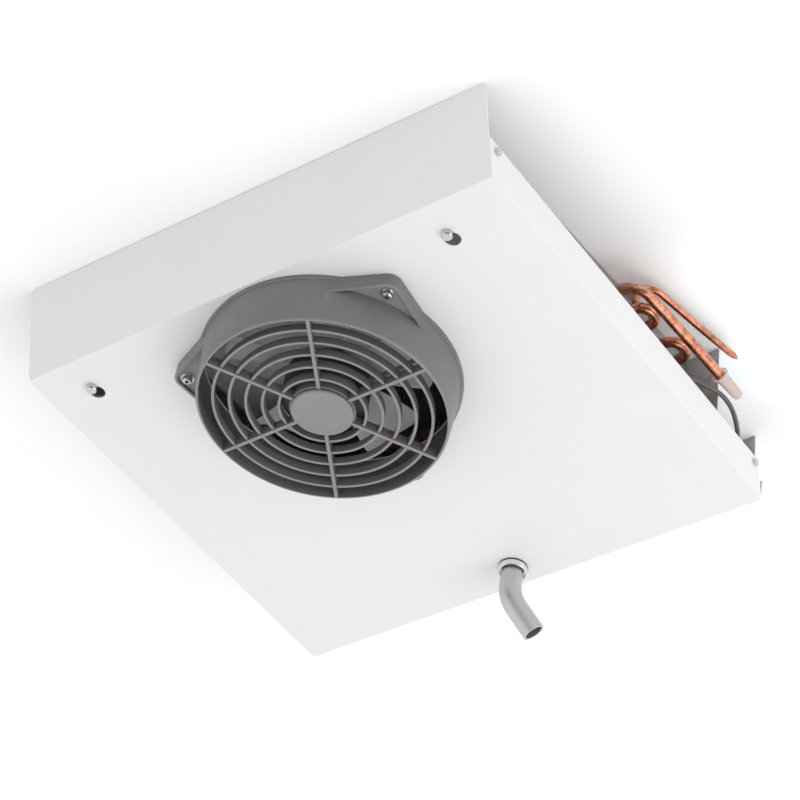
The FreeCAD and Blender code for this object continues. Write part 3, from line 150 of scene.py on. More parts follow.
# The coil's tubes stand in a square pattern; the first is at the front of the top row.
TUBE_PITCH = 25.4 * MM
TUBE_RADIUS = 4.76 * MM
THIN_TUBE_RADIUS = 3.175 * MM
FIRST_TUBE = (-41.6 * MM, -30 * MM)
# Outer face of the right side plate; the left one's is as far to the other side.
WEB = 221.5 * MM


def linear(code):
    """sRGB hex code to the linear values that shaders use."""
    parts = [int(code[i:i + 2], 16) / 255 for i in (1, 3, 5)]
    return tuple(v / 12.92 if v <= 0.04045 else ((v + 0.055) / 1.055) ** 2.4 for v in parts)


class CoolerSizes(bpy.types.PropertyGroup):
    fold_radius: FloatProperty(
        name="Fold radius",
        description="Radius of the folds and cut edges of the white pan",
        default=0.45 * MM,
        unit="LENGTH",
    )
    moulded_edge: FloatProperty(
        name="Moulded edge",
        description="Radius of the edges of moulded parts",
        default=0.45 * MM,
        unit="LENGTH",
    )
    metal_edge: FloatProperty(
        name="Metal edge",
        description="Radius of the edges of plates, nuts and fittings",
        default=0.25 * MM,
        unit="LENGTH",
    )
    fin_pitch: FloatProperty(
        name="Fin pitch",
        description="Distance from fin to fin",
        default=4.0 * MM,
        unit="LENGTH",
    )
    fin_thickness: FloatProperty(
        name="Fin thickness",
        description="Thickness of one fin",
        default=0.25 * MM,
        unit="LENGTH",
    )
    blade_count: IntProperty(
        name="Blades",
        description="Number of fan blades",
        default=5,
        min=3,
        max=9,
    )
    cable_diameter: FloatProperty(
        name="Cable diameter",
        description="Outside diameter of the cable",
        default=4.4 * MM,
        unit="LENGTH",
    )


class CoolerColours(bpy.types.PropertyGroup):
    coat: FloatVectorProperty(
        name="Powder coat",
        description="White of the pan",
        subtype="COLOR",
        default=linear("#F1F0F0"),
        min=0,
        max=1,
    )
    guard: FloatVectorProperty(
        name="Guard",
        description="Grey of the moulded fan guard",
        subtype="COLOR",
        default=linear("#8E8C8C"),
        min=0,
        max=1,
    )
    blade: FloatVectorProperty(
        name="Blades",
        description="Grey of the fan blades",
        subtype="COLOR",
        default=linear("#C2C1BF"),
        min=0,
        max=1,
    )
    copper: FloatVectorProperty(
        name="Copper",
        description="Clean drawn copper",
        subtype="COLOR",
        default=linear("#DD9E82"),
        min=0,
        max=1,
    )
    zinc: FloatVectorProperty(
        name="Galvanised sheet",
        description="Zinc coat of the plates",
        subtype="COLOR",
        default=linear("#B4B2B2"),
        min=0,
        max=1,
    )


def settings():
    """Sizes that the panel shows."""
    return bpy.context.scene.cooler_sizes


def colours():
    """Colours that the panel shows."""
    return bpy.context.scene.cooler_colours


# Materials

# A noise value lies mostly between these two.
NOISE_LOW = 0.3
NOISE_HIGH = 0.7


def add(tree, kind, inputs=None, **values):
    """Add a node; inputs maps a socket's name or number to a value, or to what feeds it."""
    item = tree.nodes.new(kind)
    for name, value in values.items():
        setattr(item, name, value)
    for key, value in (inputs or {}).items():
        if isinstance(value, bpy.types.Node):
            value = value.outputs[0]
        if isinstance(value, bpy.types.NodeSocket):
            tree.links.new(value, item.inputs[key])
        else:
            item.inputs[key].default_value = value
    return item


def new_material(name):
    """New material, its empty tree and the object coordinates in it."""
    paint = bpy.data.materials.new(name)
    paint.use_nodes = True
    tree = paint.node_tree
    tree.nodes.clear()
    return paint, tree, add(tree, "ShaderNodeTexCoord").outputs["Object"]


def finish_material(paint, inputs):
    """Close a material with its shader, whose sockets take the inputs."""
    shader = add(paint.node_tree, "ShaderNodeBsdfPrincipled", inputs)
    add(paint.node_tree, "ShaderNodeOutputMaterial", {"Surface": shader})
    return paint


def shade(colour, factor=1.0):
    """Colour times a factor, with the alpha that a socket wants."""
    return (*(min(1.0, channel * factor) for channel in colour[:3]), 1.0)


def powder_coated_steel(name):
    """Polyester powder baked on steel sheet: a satin white with a faint orange peel."""
    paint, tree, place = new_material(name)
    coat = colours().coat
    peel = add(tree, "ShaderNodeTexNoise", {
        "Vector": place, "Scale": 1 / (1.6 * MM), "Detail": 1.0,
    })
    cloud = add(tree, "ShaderNodeTexNoise", {
        "Vector": place, "Scale": 1 / (60 * MM), "Detail": 2.0,
    })
    share = add(tree, "ShaderNodeMapRange", {0: cloud, 1: NOISE_LOW, 2: NOISE_HIGH})
    colour = add(
        tree, "ShaderNodeMix", {0: share, 6: shade(coat, 0.985), 7: shade(coat)}, data_type="RGBA"
    )
    return finish_material(paint, {
        "Base Color": colour.outputs[2],
        "Roughness": add(tree, "ShaderNodeMapRange", {
            0: cloud, 1: NOISE_LOW, 2: NOISE_HIGH, 3: 0.36, 4: 0.44,
        }),
        "Normal": add(tree, "ShaderNodeBump", {
            "Height": peel, "Strength": 0.12, "Distance": 0.02 * MM,
        }),
        "IOR": 1.5,
    })


def galvanised_steel(name):
    """Hot-dip galvanised sheet: flat crystals some 9 mm wide, dulled by an oxide film."""
    paint, tree, place = new_material(name)
    zinc = colours().zinc
    spangle = add(tree, "ShaderNodeTexVoronoi", {"Vector": place, "Scale": 1 / (9 * MM)})
    shine = add(tree, "ShaderNodeSeparateColor", {0: spangle.outputs["Color"]})
    grain = add(tree, "ShaderNodeTexNoise", {
        "Vector": place, "Scale": 1 / (0.8 * MM), "Detail": 2.0,
    })
    colour = add(
        tree, "ShaderNodeMix", {0: shine, 6: shade(zinc, 0.82), 7: shade(zinc, 1.1)},
        data_type="RGBA",
    )
    return finish_material(paint, {
        "Base Color": colour.outputs[2],
        "Roughness": add(tree, "ShaderNodeMapRange", {0: shine, 3: 0.38, 4: 0.55}),
        "Normal": add(tree, "ShaderNodeBump", {
            "Height": grain, "Strength": 0.1, "Distance": 0.02 * MM,
        }),
        "Metallic": 0.6,
    })


def drawn_copper(name):
    """Soft-drawn copper tube, handled: warm and glossy, mottled with brown tarnish."""
    paint, tree, place = new_material(name)
    tarnish = add(tree, "ShaderNodeTexNoise", {
        "Vector": place, "Scale": 1 / (9 * MM), "Detail": 4.0,
    })
    speck = add(tree, "ShaderNodeTexNoise", {
        "Vector": place, "Scale": 1 / (1.1 * MM), "Detail": 3.0,
    })
    mottle = add(tree, "ShaderNodeMath", {0: tarnish, 1: speck}, operation="MULTIPLY")
    share = add(tree, "ShaderNodeMapRange", {0: mottle, 1: 0.14, 2: 0.34})
    colour = add(
        tree, "ShaderNodeMix",
        {0: share, 6: shade(linear("#96583F")), 7: shade(colours().copper)},
        data_type="RGBA",
    )
    return finish_material(paint, {
        "Base Color": colour.outputs[2],
        "Roughness": add(tree, "ShaderNodeMapRange", {
            0: speck, 1: NOISE_LOW, 2: NOISE_HIGH, 3: 0.36, 4: 0.22,
        }),
        "Normal": add(tree, "ShaderNodeBump", {
            "Height": speck, "Strength": 0.08, "Distance": 0.03 * MM,
        }),
        "Metallic": 1.0,
    })


def moulded_polyamide(name):
    """Grey moulded nylon with a fine grain, and painted light and shade: faces that point away
    from the pan are painted lighter, the walls darker.
    """
    paint, tree, place = new_material(name)
    guard = colours().guard
    grain = add(tree, "ShaderNodeTexNoise", {
        "Vector": place, "Scale": 1 / (0.7 * MM), "Detail": 2.0,
    })
    cloud = add(tree, "ShaderNodeTexNoise", {
        "Vector": place, "Scale": 1 / (25 * MM), "Detail": 3.0,
    })
    # Painted light and shade: the grey is lighter the more a face points away from the pan, and
    # walls get 0.62 of it.
    direction = add(tree, "ShaderNodeNewGeometry").outputs["Normal"]
    facing = add(
        tree, "ShaderNodeVectorMath", {0: direction, 1: -UPWARD}, operation="DOT_PRODUCT"
    )
    share = add(tree, "ShaderNodeMapRange", {0: facing.outputs["Value"], 1: 0.25, 2: 0.9})
    tone = add(
        tree, "ShaderNodeMix", {0: share, 6: shade(guard, 0.62), 7: shade(guard)},
        data_type="RGBA",
    )
    patches = add(tree, "ShaderNodeMapRange", {
        0: cloud, 1: NOISE_LOW, 2: NOISE_HIGH, 3: 0.0, 4: 0.12,
    })
    colour = add(
        tree, "ShaderNodeMix", {0: patches, 6: tone.outputs[2], 7: shade(guard, 0.5)},
        data_type="RGBA",
    )
    return finish_material(paint, {
        "Base Color": colour.outputs[2],
        "Roughness": add(tree, "ShaderNodeMapRange", {
            0: cloud, 1: NOISE_LOW, 2: NOISE_HIGH, 3: 0.3, 4: 0.4,
        }),
        "Normal": add(tree, "ShaderNodeBump", {
            "Height": grain, "Strength": 0.15, "Distance": 0.03 * MM,
        }),
        "IOR": 1.49,
    })


def moulded(name, code, low, high, grit):
    """Moulded plastic or thick enamel, its gloss soft from a fine grit; no code: the blades'."""
    paint, tree, place = new_material(name)
    base = linear(code) if code else colours().blade
    texture = add(tree, "ShaderNodeTexNoise", {
        "Vector": place, "Scale": 1 / grit, "Detail": 2.0,
    })
    cloud = add(tree, "ShaderNodeTexNoise", {
        "Vector": place, "Scale": 1 / (25 * MM), "Detail": 3.0,
    })
    share = add(tree, "ShaderNodeMapRange", {0: cloud, 1: NOISE_LOW, 2: NOISE_HIGH})
    colour = add(
        tree, "ShaderNodeMix", {0: share, 6: shade(base, 0.94), 7: shade(base, 1.03)},
        data_type="RGBA",
    )
    return finish_material(paint, {
        "Base Color": colour.outputs[2],
        "Roughness": add(tree, "ShaderNodeMapRange", {
            0: cloud, 1: NOISE_LOW, 2: NOISE_HIGH, 3: low, 4: high,
        }),
        "Normal": add(tree, "ShaderNodeBump", {
            "Height": texture, "Strength": 0.15, "Distance": 0.03 * MM,
        }),
        "IOR": 1.49,
    })


def bare_metal(name, code, low, high):
    """Turned, drawn or plated metal, with faint marks of handling in its gloss."""
    paint, tree, place = new_material(name)
    marks = add(tree, "ShaderNodeTexNoise", {
        "Vector": place, "Scale": 1 / (0.9 * MM), "Detail": 4.0,
    })
    colour = add(
        tree, "ShaderNodeMix",
        {0: marks, 6: shade(linear(code), 0.85), 7: shade(linear(code), 1.08)},
        data_type="RGBA",
    )
    return finish_material(paint, {
        "Base Color": colour.outputs[2],
        "Roughness": add(tree, "ShaderNodeMapRange", {
            0: marks, 1: NOISE_LOW, 2: NOISE_HIGH, 3: low, 4: high,
        }),
        "Normal": add(tree, "ShaderNodeBump", {
            "Height": marks, "Strength": 0.06, "Distance": 0.02 * MM,
        }),
        "Metallic": 1.0,
    })


def clouded(name, size, detail, stretch, first, second, low, high, constants):
    """Smooth surface whose colour and gloss drift a little over size metres."""
    paint, tree, place = new_material(name)
    drawn = add(tree, "ShaderNodeMapping", {0: place, "Scale": stretch})
    drift = add(tree, "ShaderNodeTexNoise", {
        "Vector": drawn, "Scale": 1 / size, "Detail": detail,
    })
    colour = add(
        tree, "ShaderNodeMix",
        {0: drift, 6: shade(linear(first)), 7: shade(linear(second))},
        data_type="RGBA",
    )
    return finish_material(paint, {
        "Base Color": colour.outputs[2],
        "Roughness": add(tree, "ShaderNodeMapRange", {
            0: drift, 1: NOISE_LOW, 2: NOISE_HIGH, 3: low, 4: high,
        }),
        **constants,
    })


EVEN = (1, 1, 1)
# Each finish: its function and values. Colours come before the least and greatest roughness.
FINISHES = {
    "powder_coated_steel": (powder_coated_steel,),
    "galvanised_steel": (galvanised_steel,),
    "drawn_copper": (drawn_copper,),
    "moulded_polyamide": (moulded_polyamide,),
    # Pale moulded blades with a soft sheen.
    "moulded_polypropylene": (moulded, None, 0.36, 0.5, 0.9 * MM),
    # Matt grey moulded box.
    "moulded_abs": (moulded, "#7A7C7E", 0.45, 0.55, 0.8 * MM),
    # Nearly black stoved enamel, slightly lumpy.
    "stoved_enamel": (moulded, "#3A3A3C", 0.4, 0.55, 1.2 * MM),
    # Bright zinc with sharp glints.
    "zinc_plate": (bare_metal, "#CFCDC9", 0.16, 0.3),
    # Satin tube with a broad soft streak.
    "satin_aluminium": (bare_metal, "#C9C9C7", 0.36, 0.46),
    # White and shiny, with a thin dark reflection.
    "polished_nickel": (bare_metal, "#ECECEA", 0.2, 0.34),
    # Grey and even, from the grinding wheel.
    "ground_steel": (bare_metal, "#B5B5B6", 0.2, 0.3),
    # Dull yellow brown, from its pores.
    "sintered_bronze": (bare_metal, "#A98A56", 0.4, 0.55),
    # Bare fin strip, bright and slightly streaked by the rolls.
    "rolled_aluminium": (
        clouded, 1.5 * MM, 2.0, (1, 0.1, 1), "#B4B6B8", "#D8DADC", 0.3, 0.42, {"Metallic": 1.0},
    ),
    # Black, with a dry bloom.
    "moulded_rubber": (clouded, 3 * MM, 3.0, EVEN, "#1B1B1B", "#2C2C2B", 0.55, 0.7, {}),
    # Grey extruded sheath, smooth, with a slight gloss.
    "extruded_pvc": (clouded, 6 * MM, 2.0, EVEN, "#50524F", "#6A6C69", 0.36, 0.46, {}),
    # Clear enough to show the copper, with a milky skin; so thin that it hardly bends light.
    "clear_polyethylene": (
        clouded, 4 * MM, 2.0, EVEN, "#F4E4DF", "#FBF2EF", 0.3, 0.4,
        {"Transmission Weight": 0.72, "IOR": 1.12},
    ),
}


MADE = {}


def material(name):
    """The material of a finish, made when it is first asked for."""
    if name not in MADE:
        make, *values = FINISHES[name]
        MADE[name] = make(name, *values)
    return MADE[name]


# Mesh helpers

def new_object(name, data):
    """Object at the origin, in the scene."""
    item = bpy.data.objects.new(name, data)
    bpy.context.scene.collection.objects.link(item)
    return item


def baked(item):
    """Apply every modifier by swapping in the evaluated mesh."""
    graph = bpy.context.evaluated_depsgraph_get()
    mesh = bpy.data.meshes.new_from_object(
        item.evaluated_get(graph), preserve_all_data_layers=True, depsgraph=graph
    )
    old = item.data
    item.modifiers.clear()
    item.data = mesh
    bpy.data.meshes.remove(old)
    return item


def smooth_faces(mesh, angle=35):
    """Smooth shading, but for edges sharper than the angle in degrees."""
    mesh.polygons.foreach_set("use_smooth", [True] * len(mesh.polygons))
    mesh.set_sharp_from_angle(angle=math.radians(angle))


def round_edges(item, width, angle=32):
    """Round the edges sharper than the angle in degrees."""
    tool = item.modifiers.new("edges", "BEVEL")
    tool.limit_method = "ANGLE"
    tool.angle_limit = math.radians(angle)
    tool.width = width
    tool.segments = 2
    tool.harden_normals = True
    tool.use_clamp_overlap = True


def keep(item, node, body=STILL):
    """Hand a finished piece over: its body, and the node that it stands for, which is hidden."""
    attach(item, body)
    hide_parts(node)
    return item


def form_object(name, form, finish=None, angle=40):
    """Close a form's making: an object with outward faces and, given a finish, smooth ones."""
    bmesh.ops.recalc_face_normals(form, faces=form.faces)
    mesh = bpy.data.meshes.new(name)
    form.to_mesh(mesh)
    form.free()
    if finish:
        mesh.materials.append(material(finish))
        smooth_faces(mesh, angle)
    return new_object(name, mesh)


def join(item, *others):
    """Add the other objects' meshes to the item's own, and remove them."""
    form = bmesh.new()
    for each in (item, *others):
        form.from_mesh(each.data)
    form.to_mesh(item.data)
    form.free()
    for other in others:
        bpy.data.objects.remove(other)
    return item


def rounded_copy(node, finish, edge, body=STILL, angle=32, cutter=None):
    """The node's own form, its triangles joined, cut by the cutter and its edges softened."""
    form = bmesh.new()
    form.from_mesh(frame["nodes"][node].data)
    bmesh.ops.remove_doubles(form, verts=form.verts, dist=2e-6)
    bmesh.ops.dissolve_limit(
        form,
        angle_limit=math.radians(0.5),
        verts=form.verts,
        edges=form.edges,
        use_dissolve_boundaries=False,
    )
    mesh = bpy.data.meshes.new(node + "_finished")
    form.to_mesh(mesh)
    form.free()
    item = new_object(node + "_finished", mesh)
    mesh.materials.clear()
    mesh.materials.append(material(finish))
    smooth_faces(mesh, angle)
    if cutter:
        cut = item.modifiers.new("cut", "BOOLEAN")
        cut.object = cutter
        cut.solver = "EXACT"
    if edge:
        round_edges(item, edge, angle=angle)
    if cutter:
        flat = item.modifiers.new("flat", "WEIGHTED_NORMAL")
        flat.weight = 100
        flat.keep_sharp = True
    if item.modifiers:
        baked(item)
    return keep(item, node, body)


def dress(finish, edge, *nodes, body=STILL):
    """Finish several nodes alike."""
    for node in nodes:
        rounded_copy(node, finish, edge, body)


def turned_object(name, outline, place, finish=None, steps=48, smooth=35):
    """Closed form turned from (radius, height) pairs in millimetres, from axis to axis."""
    form = bmesh.new()
    rings = []
    for radius, height in outline:
        ring = []
        for step in range(steps if radius else 1):
            angle = 2 * math.pi * step / steps
            spot = Vector((radius * math.cos(angle), radius * math.sin(angle), height))
            ring.append(form.verts.new(place @ (spot * MM)))
        rings.append(ring)
    for low, high in zip(rings, rings[1:]):
        for step in range(steps):
            following = (step + 1) % steps
            corners = [low[step % len(low)], low[following % len(low)]]
            corners += [high[following % len(high)], high[step % len(high)]]
            face = list(dict.fromkeys(corners))
            if len(face) > 2:
                form.faces.new(face)
    return form_object(name, form, finish, smooth)


def rounded_path(points, bend, steps=7):
    """Centre line through the points with an arc at each corner."""
    path = [points[0]]
    last_corner = len(points) - 2
    for number in range(1, last_corner + 1):
        before, corner, after = points[number - 1:number + 2]
        back = (before - corner).normalized()
        ahead = (after - corner).normalized()
        half = back.angle(ahead) / 2
        if half > math.radians(88):
            path.append(corner)
            continue
        reach = min(
            bend / math.tan(half),
            (before - corner).length * (0.99 if number == 1 else 0.495),
            (after - corner).length * (0.99 if number == last_corner else 0.495),
        )
        radius = reach * math.tan(half)
        middle = corner + (back + ahead).normalized() * (radius / math.sin(half))
        first = corner + back * reach - middle
        last = corner + ahead * reach - middle
        sweep = first.angle(last)
        for index in range(steps + 1):
            share = index / steps
            blend = first * math.sin((1 - share) * sweep) + last * math.sin(share * sweep)
            path.append(middle + blend / math.sin(sweep))
    path.append(points[-1])
    return path


def add_tube(form, path, radius, bore=0.0, depth=0.0, steps=24):
    """Tube round a path, added to a form; bore and depth open its far end. Gives the last ring."""
    rings = []
    along = (path[1] - path[0]).normalized()
    side = along.orthogonal().normalized()
    for index, point in enumerate(path):
        before = path[max(index - 1, 0)]
        after = path[min(index + 1, len(path) - 1)]
        along = (after - before).normalized()
        side = (side - along * side.dot(along)).normalized()
        other = along.cross(side)
        ring = []
        for step in range(steps):
            angle = 2 * math.pi * step / steps
            arm = side * math.cos(angle) + other * math.sin(angle)
            ring.append((point, arm))
        rings.append([form.verts.new(point + arm * radius) for point, arm in ring])
    arms = [arm for point, arm in ring]
    if bore:
        rings.append([form.verts.new(path[-1] + arm * bore) for arm in arms])
        rings.append([form.verts.new(path[-1] - along * depth + arm * bore) for arm in arms])
    for low, high in zip(rings, rings[1:]):
        for step in range(steps):
            following = (step + 1) % steps
            form.faces.new((low[step], low[following], high[following], high[step]))
    form.faces.new(rings[0][::-1])
    form.faces.new(rings[-1])
    return rings[-1], along, arms


# Geometry node trees

def node_tree(name, inputs):
    """Empty geometry tree with named inputs, given as (name, socket kind, value)."""
    tree = bpy.data.node_groups.new(name, "GeometryNodeTree")
    tree.interface.new_socket("Geometry", in_out="OUTPUT", socket_type="NodeSocketGeometry")
    for label, kind, value in inputs:
        socket = tree.interface.new_socket(label, in_out="INPUT", socket_type=kind)
        if value is not None:
            socket.default_value = value
    start = add(tree, "NodeGroupInput")
    return tree, {output.name: output for output in start.outputs}


def finish_tree(tree, instances, finish):
    """End a tree: its instances made real, with their material."""
    real = add(tree, "GeometryNodeRealizeInstances", {0: instances})
    dressed = add(tree, "GeometryNodeSetMaterial", {0: real.outputs[0], "Material": finish})
    add(tree, "NodeGroupOutput", {0: dressed.outputs[0]})


def run_tree(name, tree, values, place=Matrix()):
    """Run a tree on an empty mesh and keep the result as a plain mesh."""
    item = new_object(name, bpy.data.meshes.new(name))
    modifier = item.modifiers.new("make", "NODES")
    modifier.node_group = tree
    sockets = {s.name: s for s in tree.interface.items_tree if s.in_out == "INPUT"}
    for label, value in values.items():
        modifier[sockets[label].identifier] = value
    baked(item)
    item.data.transform(place)
    return item


def ring_of(name, unit, count, radius, first_angle, finish, place):
    """Copies of one mesh on a circle about the Z axis, the first at first_angle."""
    tree, given = node_tree(name + "_ring", (
        ("Unit", "NodeSocketObject", None),
        ("Count", "NodeSocketInt", 3),
        ("Radius", "NodeSocketFloat", 0.1),
        ("First angle", "NodeSocketFloat", 0.0),
    ))
    circle = add(tree, "GeometryNodeMeshCircle", {
        "Vertices": given["Count"], "Radius": given["Radius"],
    })
    step = add(tree, "ShaderNodeMath", {0: 2 * math.pi, 1: given["Count"]}, operation="DIVIDE")
    number = add(tree, "GeometryNodeInputIndex")
    turn = add(
        tree, "ShaderNodeMath", {0: number.outputs[0], 1: step.outputs[0]}, operation="MULTIPLY"
    )
    turned = add(tree, "ShaderNodeCombineXYZ", {"Z": turn.outputs[0]})
    unit_data = add(tree, "GeometryNodeObjectInfo", {"Object": given["Unit"]})
    placed = add(tree, "GeometryNodeInstanceOnPoints", {
        "Points": circle.outputs[0],
        "Instance": unit_data.outputs["Geometry"],
        "Rotation": turned.outputs[0],
    })
    start = add(tree, "ShaderNodeCombineXYZ", {"Z": given["First angle"]})
    swung = add(tree, "GeometryNodeTransform", {
        "Geometry": placed.outputs[0], "Rotation": start.outputs[0],
    })
    finish_tree(tree, swung.outputs[0], finish)
    values = {"Unit": unit, "Count": count, "Radius": radius, "First angle": first_angle}
    item = run_tree(name, tree, values, place)
    bpy.data.objects.remove(unit)
    return item


# Pieces

def make_fin(height, depth, thickness, ripple):
    """One fin, rippled along its depth, standing in the YZ plane."""
    form = bmesh.new()
    stations = 15
    columns = []
    for index in range(stations):
        along = depth * index / (stations - 1)
        wave = ripple * (1 if index % 2 else -1) * (0 < index < stations - 1)
        column = []
        for side in (-0.5, 0.5):
            for rise in (0, height):
                column.append(form.verts.new((side * thickness + wave, along, rise)))
        columns.append(column)
    for first, second in zip(columns, columns[1:]):
        form.faces.new((first[0], first[1], second[1], second[0]))
        form.faces.new((second[2], second[3], first[3], first[2]))
        form.faces.new((first[1], first[3], second[3], second[1]))
        form.faces.new((first[0], second[0], second[2], first[2]))
    for column in (columns[0], columns[-1]):
        form.faces.new((column[0], column[2], column[3], column[1]))
    return form_object("fin_unit", form)


def make_fin_row():
    """The coil's row of separate fins."""
    sizes = settings()
    low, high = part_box("fin_pack")
    unit = make_fin(high.z - low.z, high.y - low.y, sizes.fin_thickness, 0.45 * MM)
    tree, given = node_tree("fin_row", (
        ("Fin", "NodeSocketObject", None),
        ("Count", "NodeSocketInt", 100),
        ("Pitch", "NodeSocketFloat", 0.004),
    ))
    step = add(tree, "ShaderNodeCombineXYZ", {"X": given["Pitch"]})
    line = add(tree, "GeometryNodeMeshLine", {
        "Count": given["Count"], "Offset": step.outputs[0],
    })
    fin = add(tree, "GeometryNodeObjectInfo", {"Object": given["Fin"]})
    row = add(tree, "GeometryNodeInstanceOnPoints", {
        "Points": line.outputs[0], "Instance": fin.outputs["Geometry"],
    })
    finish_tree(tree, row.outputs[0], material("rolled_aluminium"))
    count = int((high.x - low.x - 2 * MM) / sizes.fin_pitch) + 1
    start = (low.x + high.x) / 2 - (count - 1) * sizes.fin_pitch / 2
    item = run_tree(
        "coil_fins",
        tree,
        {"Fin": unit, "Count": count, "Pitch": sizes.fin_pitch},
        Matrix.Translation((start, low.y, low.z)),
    )
    bpy.data.objects.remove(unit)
    keep(item, "fin_pack")


# Sections of a blade, root to tip, in millimetres and degrees: distance from the axis, chord,
# pitch, sweep and height of the middle.
BLADE_SECTIONS = (
    (28.0, 25.0, 24.0, 0.0, 3.0),
    (45.0, 37.0, 27.0, 2.5, 1.0),
    (62.0, 48.0, 27.0, 5.0, -1.0),
    (80.0, 56.0, 24.5, 6.0, -2.2),
    (93.0, 58.0, 22.0, 6.0, -3.0),
)


def make_blade():
    """One cambered blade along Y with round tip corners, as a thin closed shell."""
    form = bmesh.new()
    across = 12
    grid = []
    for reach, chord, pitch, sweep, middle in BLADE_SECTIONS:
        tilt = math.radians(pitch)
        row = []
        for index in range(across + 1):
            share = index / across * 2 - 1
            along = share * chord / 2
            camber = 0.09 * chord * (1 - share * share)
            trim = 7.0 * max(0.0, abs(share) - 0.55) ** 2 / 0.2 if reach > 90 else 0
            x = sweep + along * math.cos(tilt) - camber * math.sin(tilt)
            z = middle + along * math.sin(tilt) + camber * math.cos(tilt)
            row.append(form.verts.new((x * MM, (reach - trim) * MM, z * MM)))
        grid.append(row)
    for inner, outer in zip(grid, grid[1:]):
        for index in range(across):
            form.faces.new((inner[index], inner[index + 1], outer[index + 1], outer[index]))
    item = form_object("blade_unit", form)
    wall = item.modifiers.new("wall", "SOLIDIFY")
    wall.thickness = 1.6 * MM
    wall.offset = 0
    curve = item.modifiers.new("curve", "SUBSURF")
    curve.levels = 2
    curve.render_levels = 2
    return baked(item)


def make_impeller():
    """The fan's blades on their hub, in one piece."""
    finish = "moulded_polypropylene"
    unit = make_blade()
    count = settings().blade_count
    blades = ring_of("fan_blades", unit, count, 0.0, 0.0, material(finish), FAN_PLACE)
    smooth_faces(blades.data, 50)
    hub = turned_object("fan_hub", (
        (4.2, -5), (30.2, -5), (31, -4.2), (31, 8), (30.4, 9.4), (29, 10), (12, 10), (11, 7),
        (4.2, 7), (4.2, -5),
    ), FAN_PLACE, finish, 96, 30)
    join(blades, hub)
    smooth_faces(blades.data, 40)
    keep(blades, "impeller", TURNING)


def recessed_head(name, radius, height, shank, length, recess, lobes):
    """Screw along Z, its head's top facing down, with a driver recess of so many lobes."""
    form = bmesh.new()
    steps = 24
    lobe_depth = 0.22
    outline = [
        (radius * 0.30, -height + recess * 0.9),
        (radius * 0.42, -height + 0.02 * MM),
        (radius * 0.62, -height),
        (radius * 0.88, -height * 0.8),
        (radius, -height * 0.38),
        (radius, 0),
        (shank, 0),
        (shank, length - 0.4 * MM),
        (shank * 0.8, length),
    ]
    rings = []
    for index, (reach, rise) in enumerate(outline):
        ring = []
        for step in range(steps):
            angle = 2 * math.pi * step / steps
            spread = reach
            if index < 2:
                spread *= 1 + lobe_depth * math.cos(lobes * angle)
            ring.append(form.verts.new((
                spread * math.cos(angle), spread * math.sin(angle), rise,
            )))
        rings.append(ring)
    for low, high in zip(rings, rings[1:]):
        for step in range(steps):
            following = (step + 1) % steps
            form.faces.new((low[step], low[following], high[following], high[step]))
    form.faces.new(rings[0][::-1])
    form.faces.new(rings[-1])
    return form_object(name, form)


def key_cutter(side, radius, low, high):
    """Plug at the round part of a keyhole; sizes in millimetres."""
    place = PAN_PLACE @ Matrix.Translation((KEY_ACROSS[side], KEY_BACK, 0))
    return turned_object("key_plug", ((0, low), (radius, low), (radius, high), (0, high)), place)


def pan_cutter():
    """Plugs for the pan: under the guard's nozzle, and one in each keyhole's round part."""
    reach = 111.8
    outline = ((0, -0.8), (reach, -0.8), (reach, 4), (0, 4))
    nozzle = turned_object("nozzle_plug", outline, FAN_PLACE, steps=128)
    return join(nozzle, *(key_cutter(side, 7.4, -2, 4) for side in KEY_ACROSS))


def tube_place(tube, across):
    """Point on the axis of one of the coil's tubes."""
    row, column = tube
    return Vector((across, FIRST_TUBE[0] + column * TUBE_PITCH, FIRST_TUBE[1] - row * TUBE_PITCH))


def bend_lead(*tubes):
    """How far a tube stands out of the right plate; the top row's stand out further."""
    return 12 * MM if all(row == 0 for row, _ in tubes) else 1 * MM


def make_coil_tubes():
    """The seven long hairpins and the bends that join them at the right."""
    half = TUBE_PITCH / 2
    bend = half * 0.998
    form = bmesh.new()
    far = -WEB - 1 * MM - half
    for first, second in zip(CIRCUIT[::2], CIRCUIT[1::2]):
        points = [
            tube_place(first, WEB + bend_lead(first)),
            tube_place(first, far),
            tube_place(second, far),
            tube_place(second, WEB + bend_lead(second)),
        ]
        add_tube(form, rounded_path(points, bend, 10), TUBE_RADIUS)
    keep(form_object("coil_tubes", form, "drawn_copper"), "coil_hairpins")
    socket = 0.25 * MM
    form = bmesh.new()
    for first, second in zip(CIRCUIT[1::2], CIRCUIT[2::2]):
        start = WEB + bend_lead(first, second)
        points = [
            tube_place(first, start),
            tube_place(first, start + half),
            tube_place(second, start + half),
            tube_place(second, start),
        ]
        add_tube(form, rounded_path(points, bend, 10), TUBE_RADIUS + socket)
    keep(form_object("end_bends", form, "drawn_copper"), "return_bends")


# The thin tube's pinched end: distance past its last point in millimetres, then its width and
# height as shares of the round tube's.
PINCH = ((2, 1.0, 0.85), (4.5, 1.08, 0.55), (8, 0.8, 0.4), (11, 0.34, 0.28))


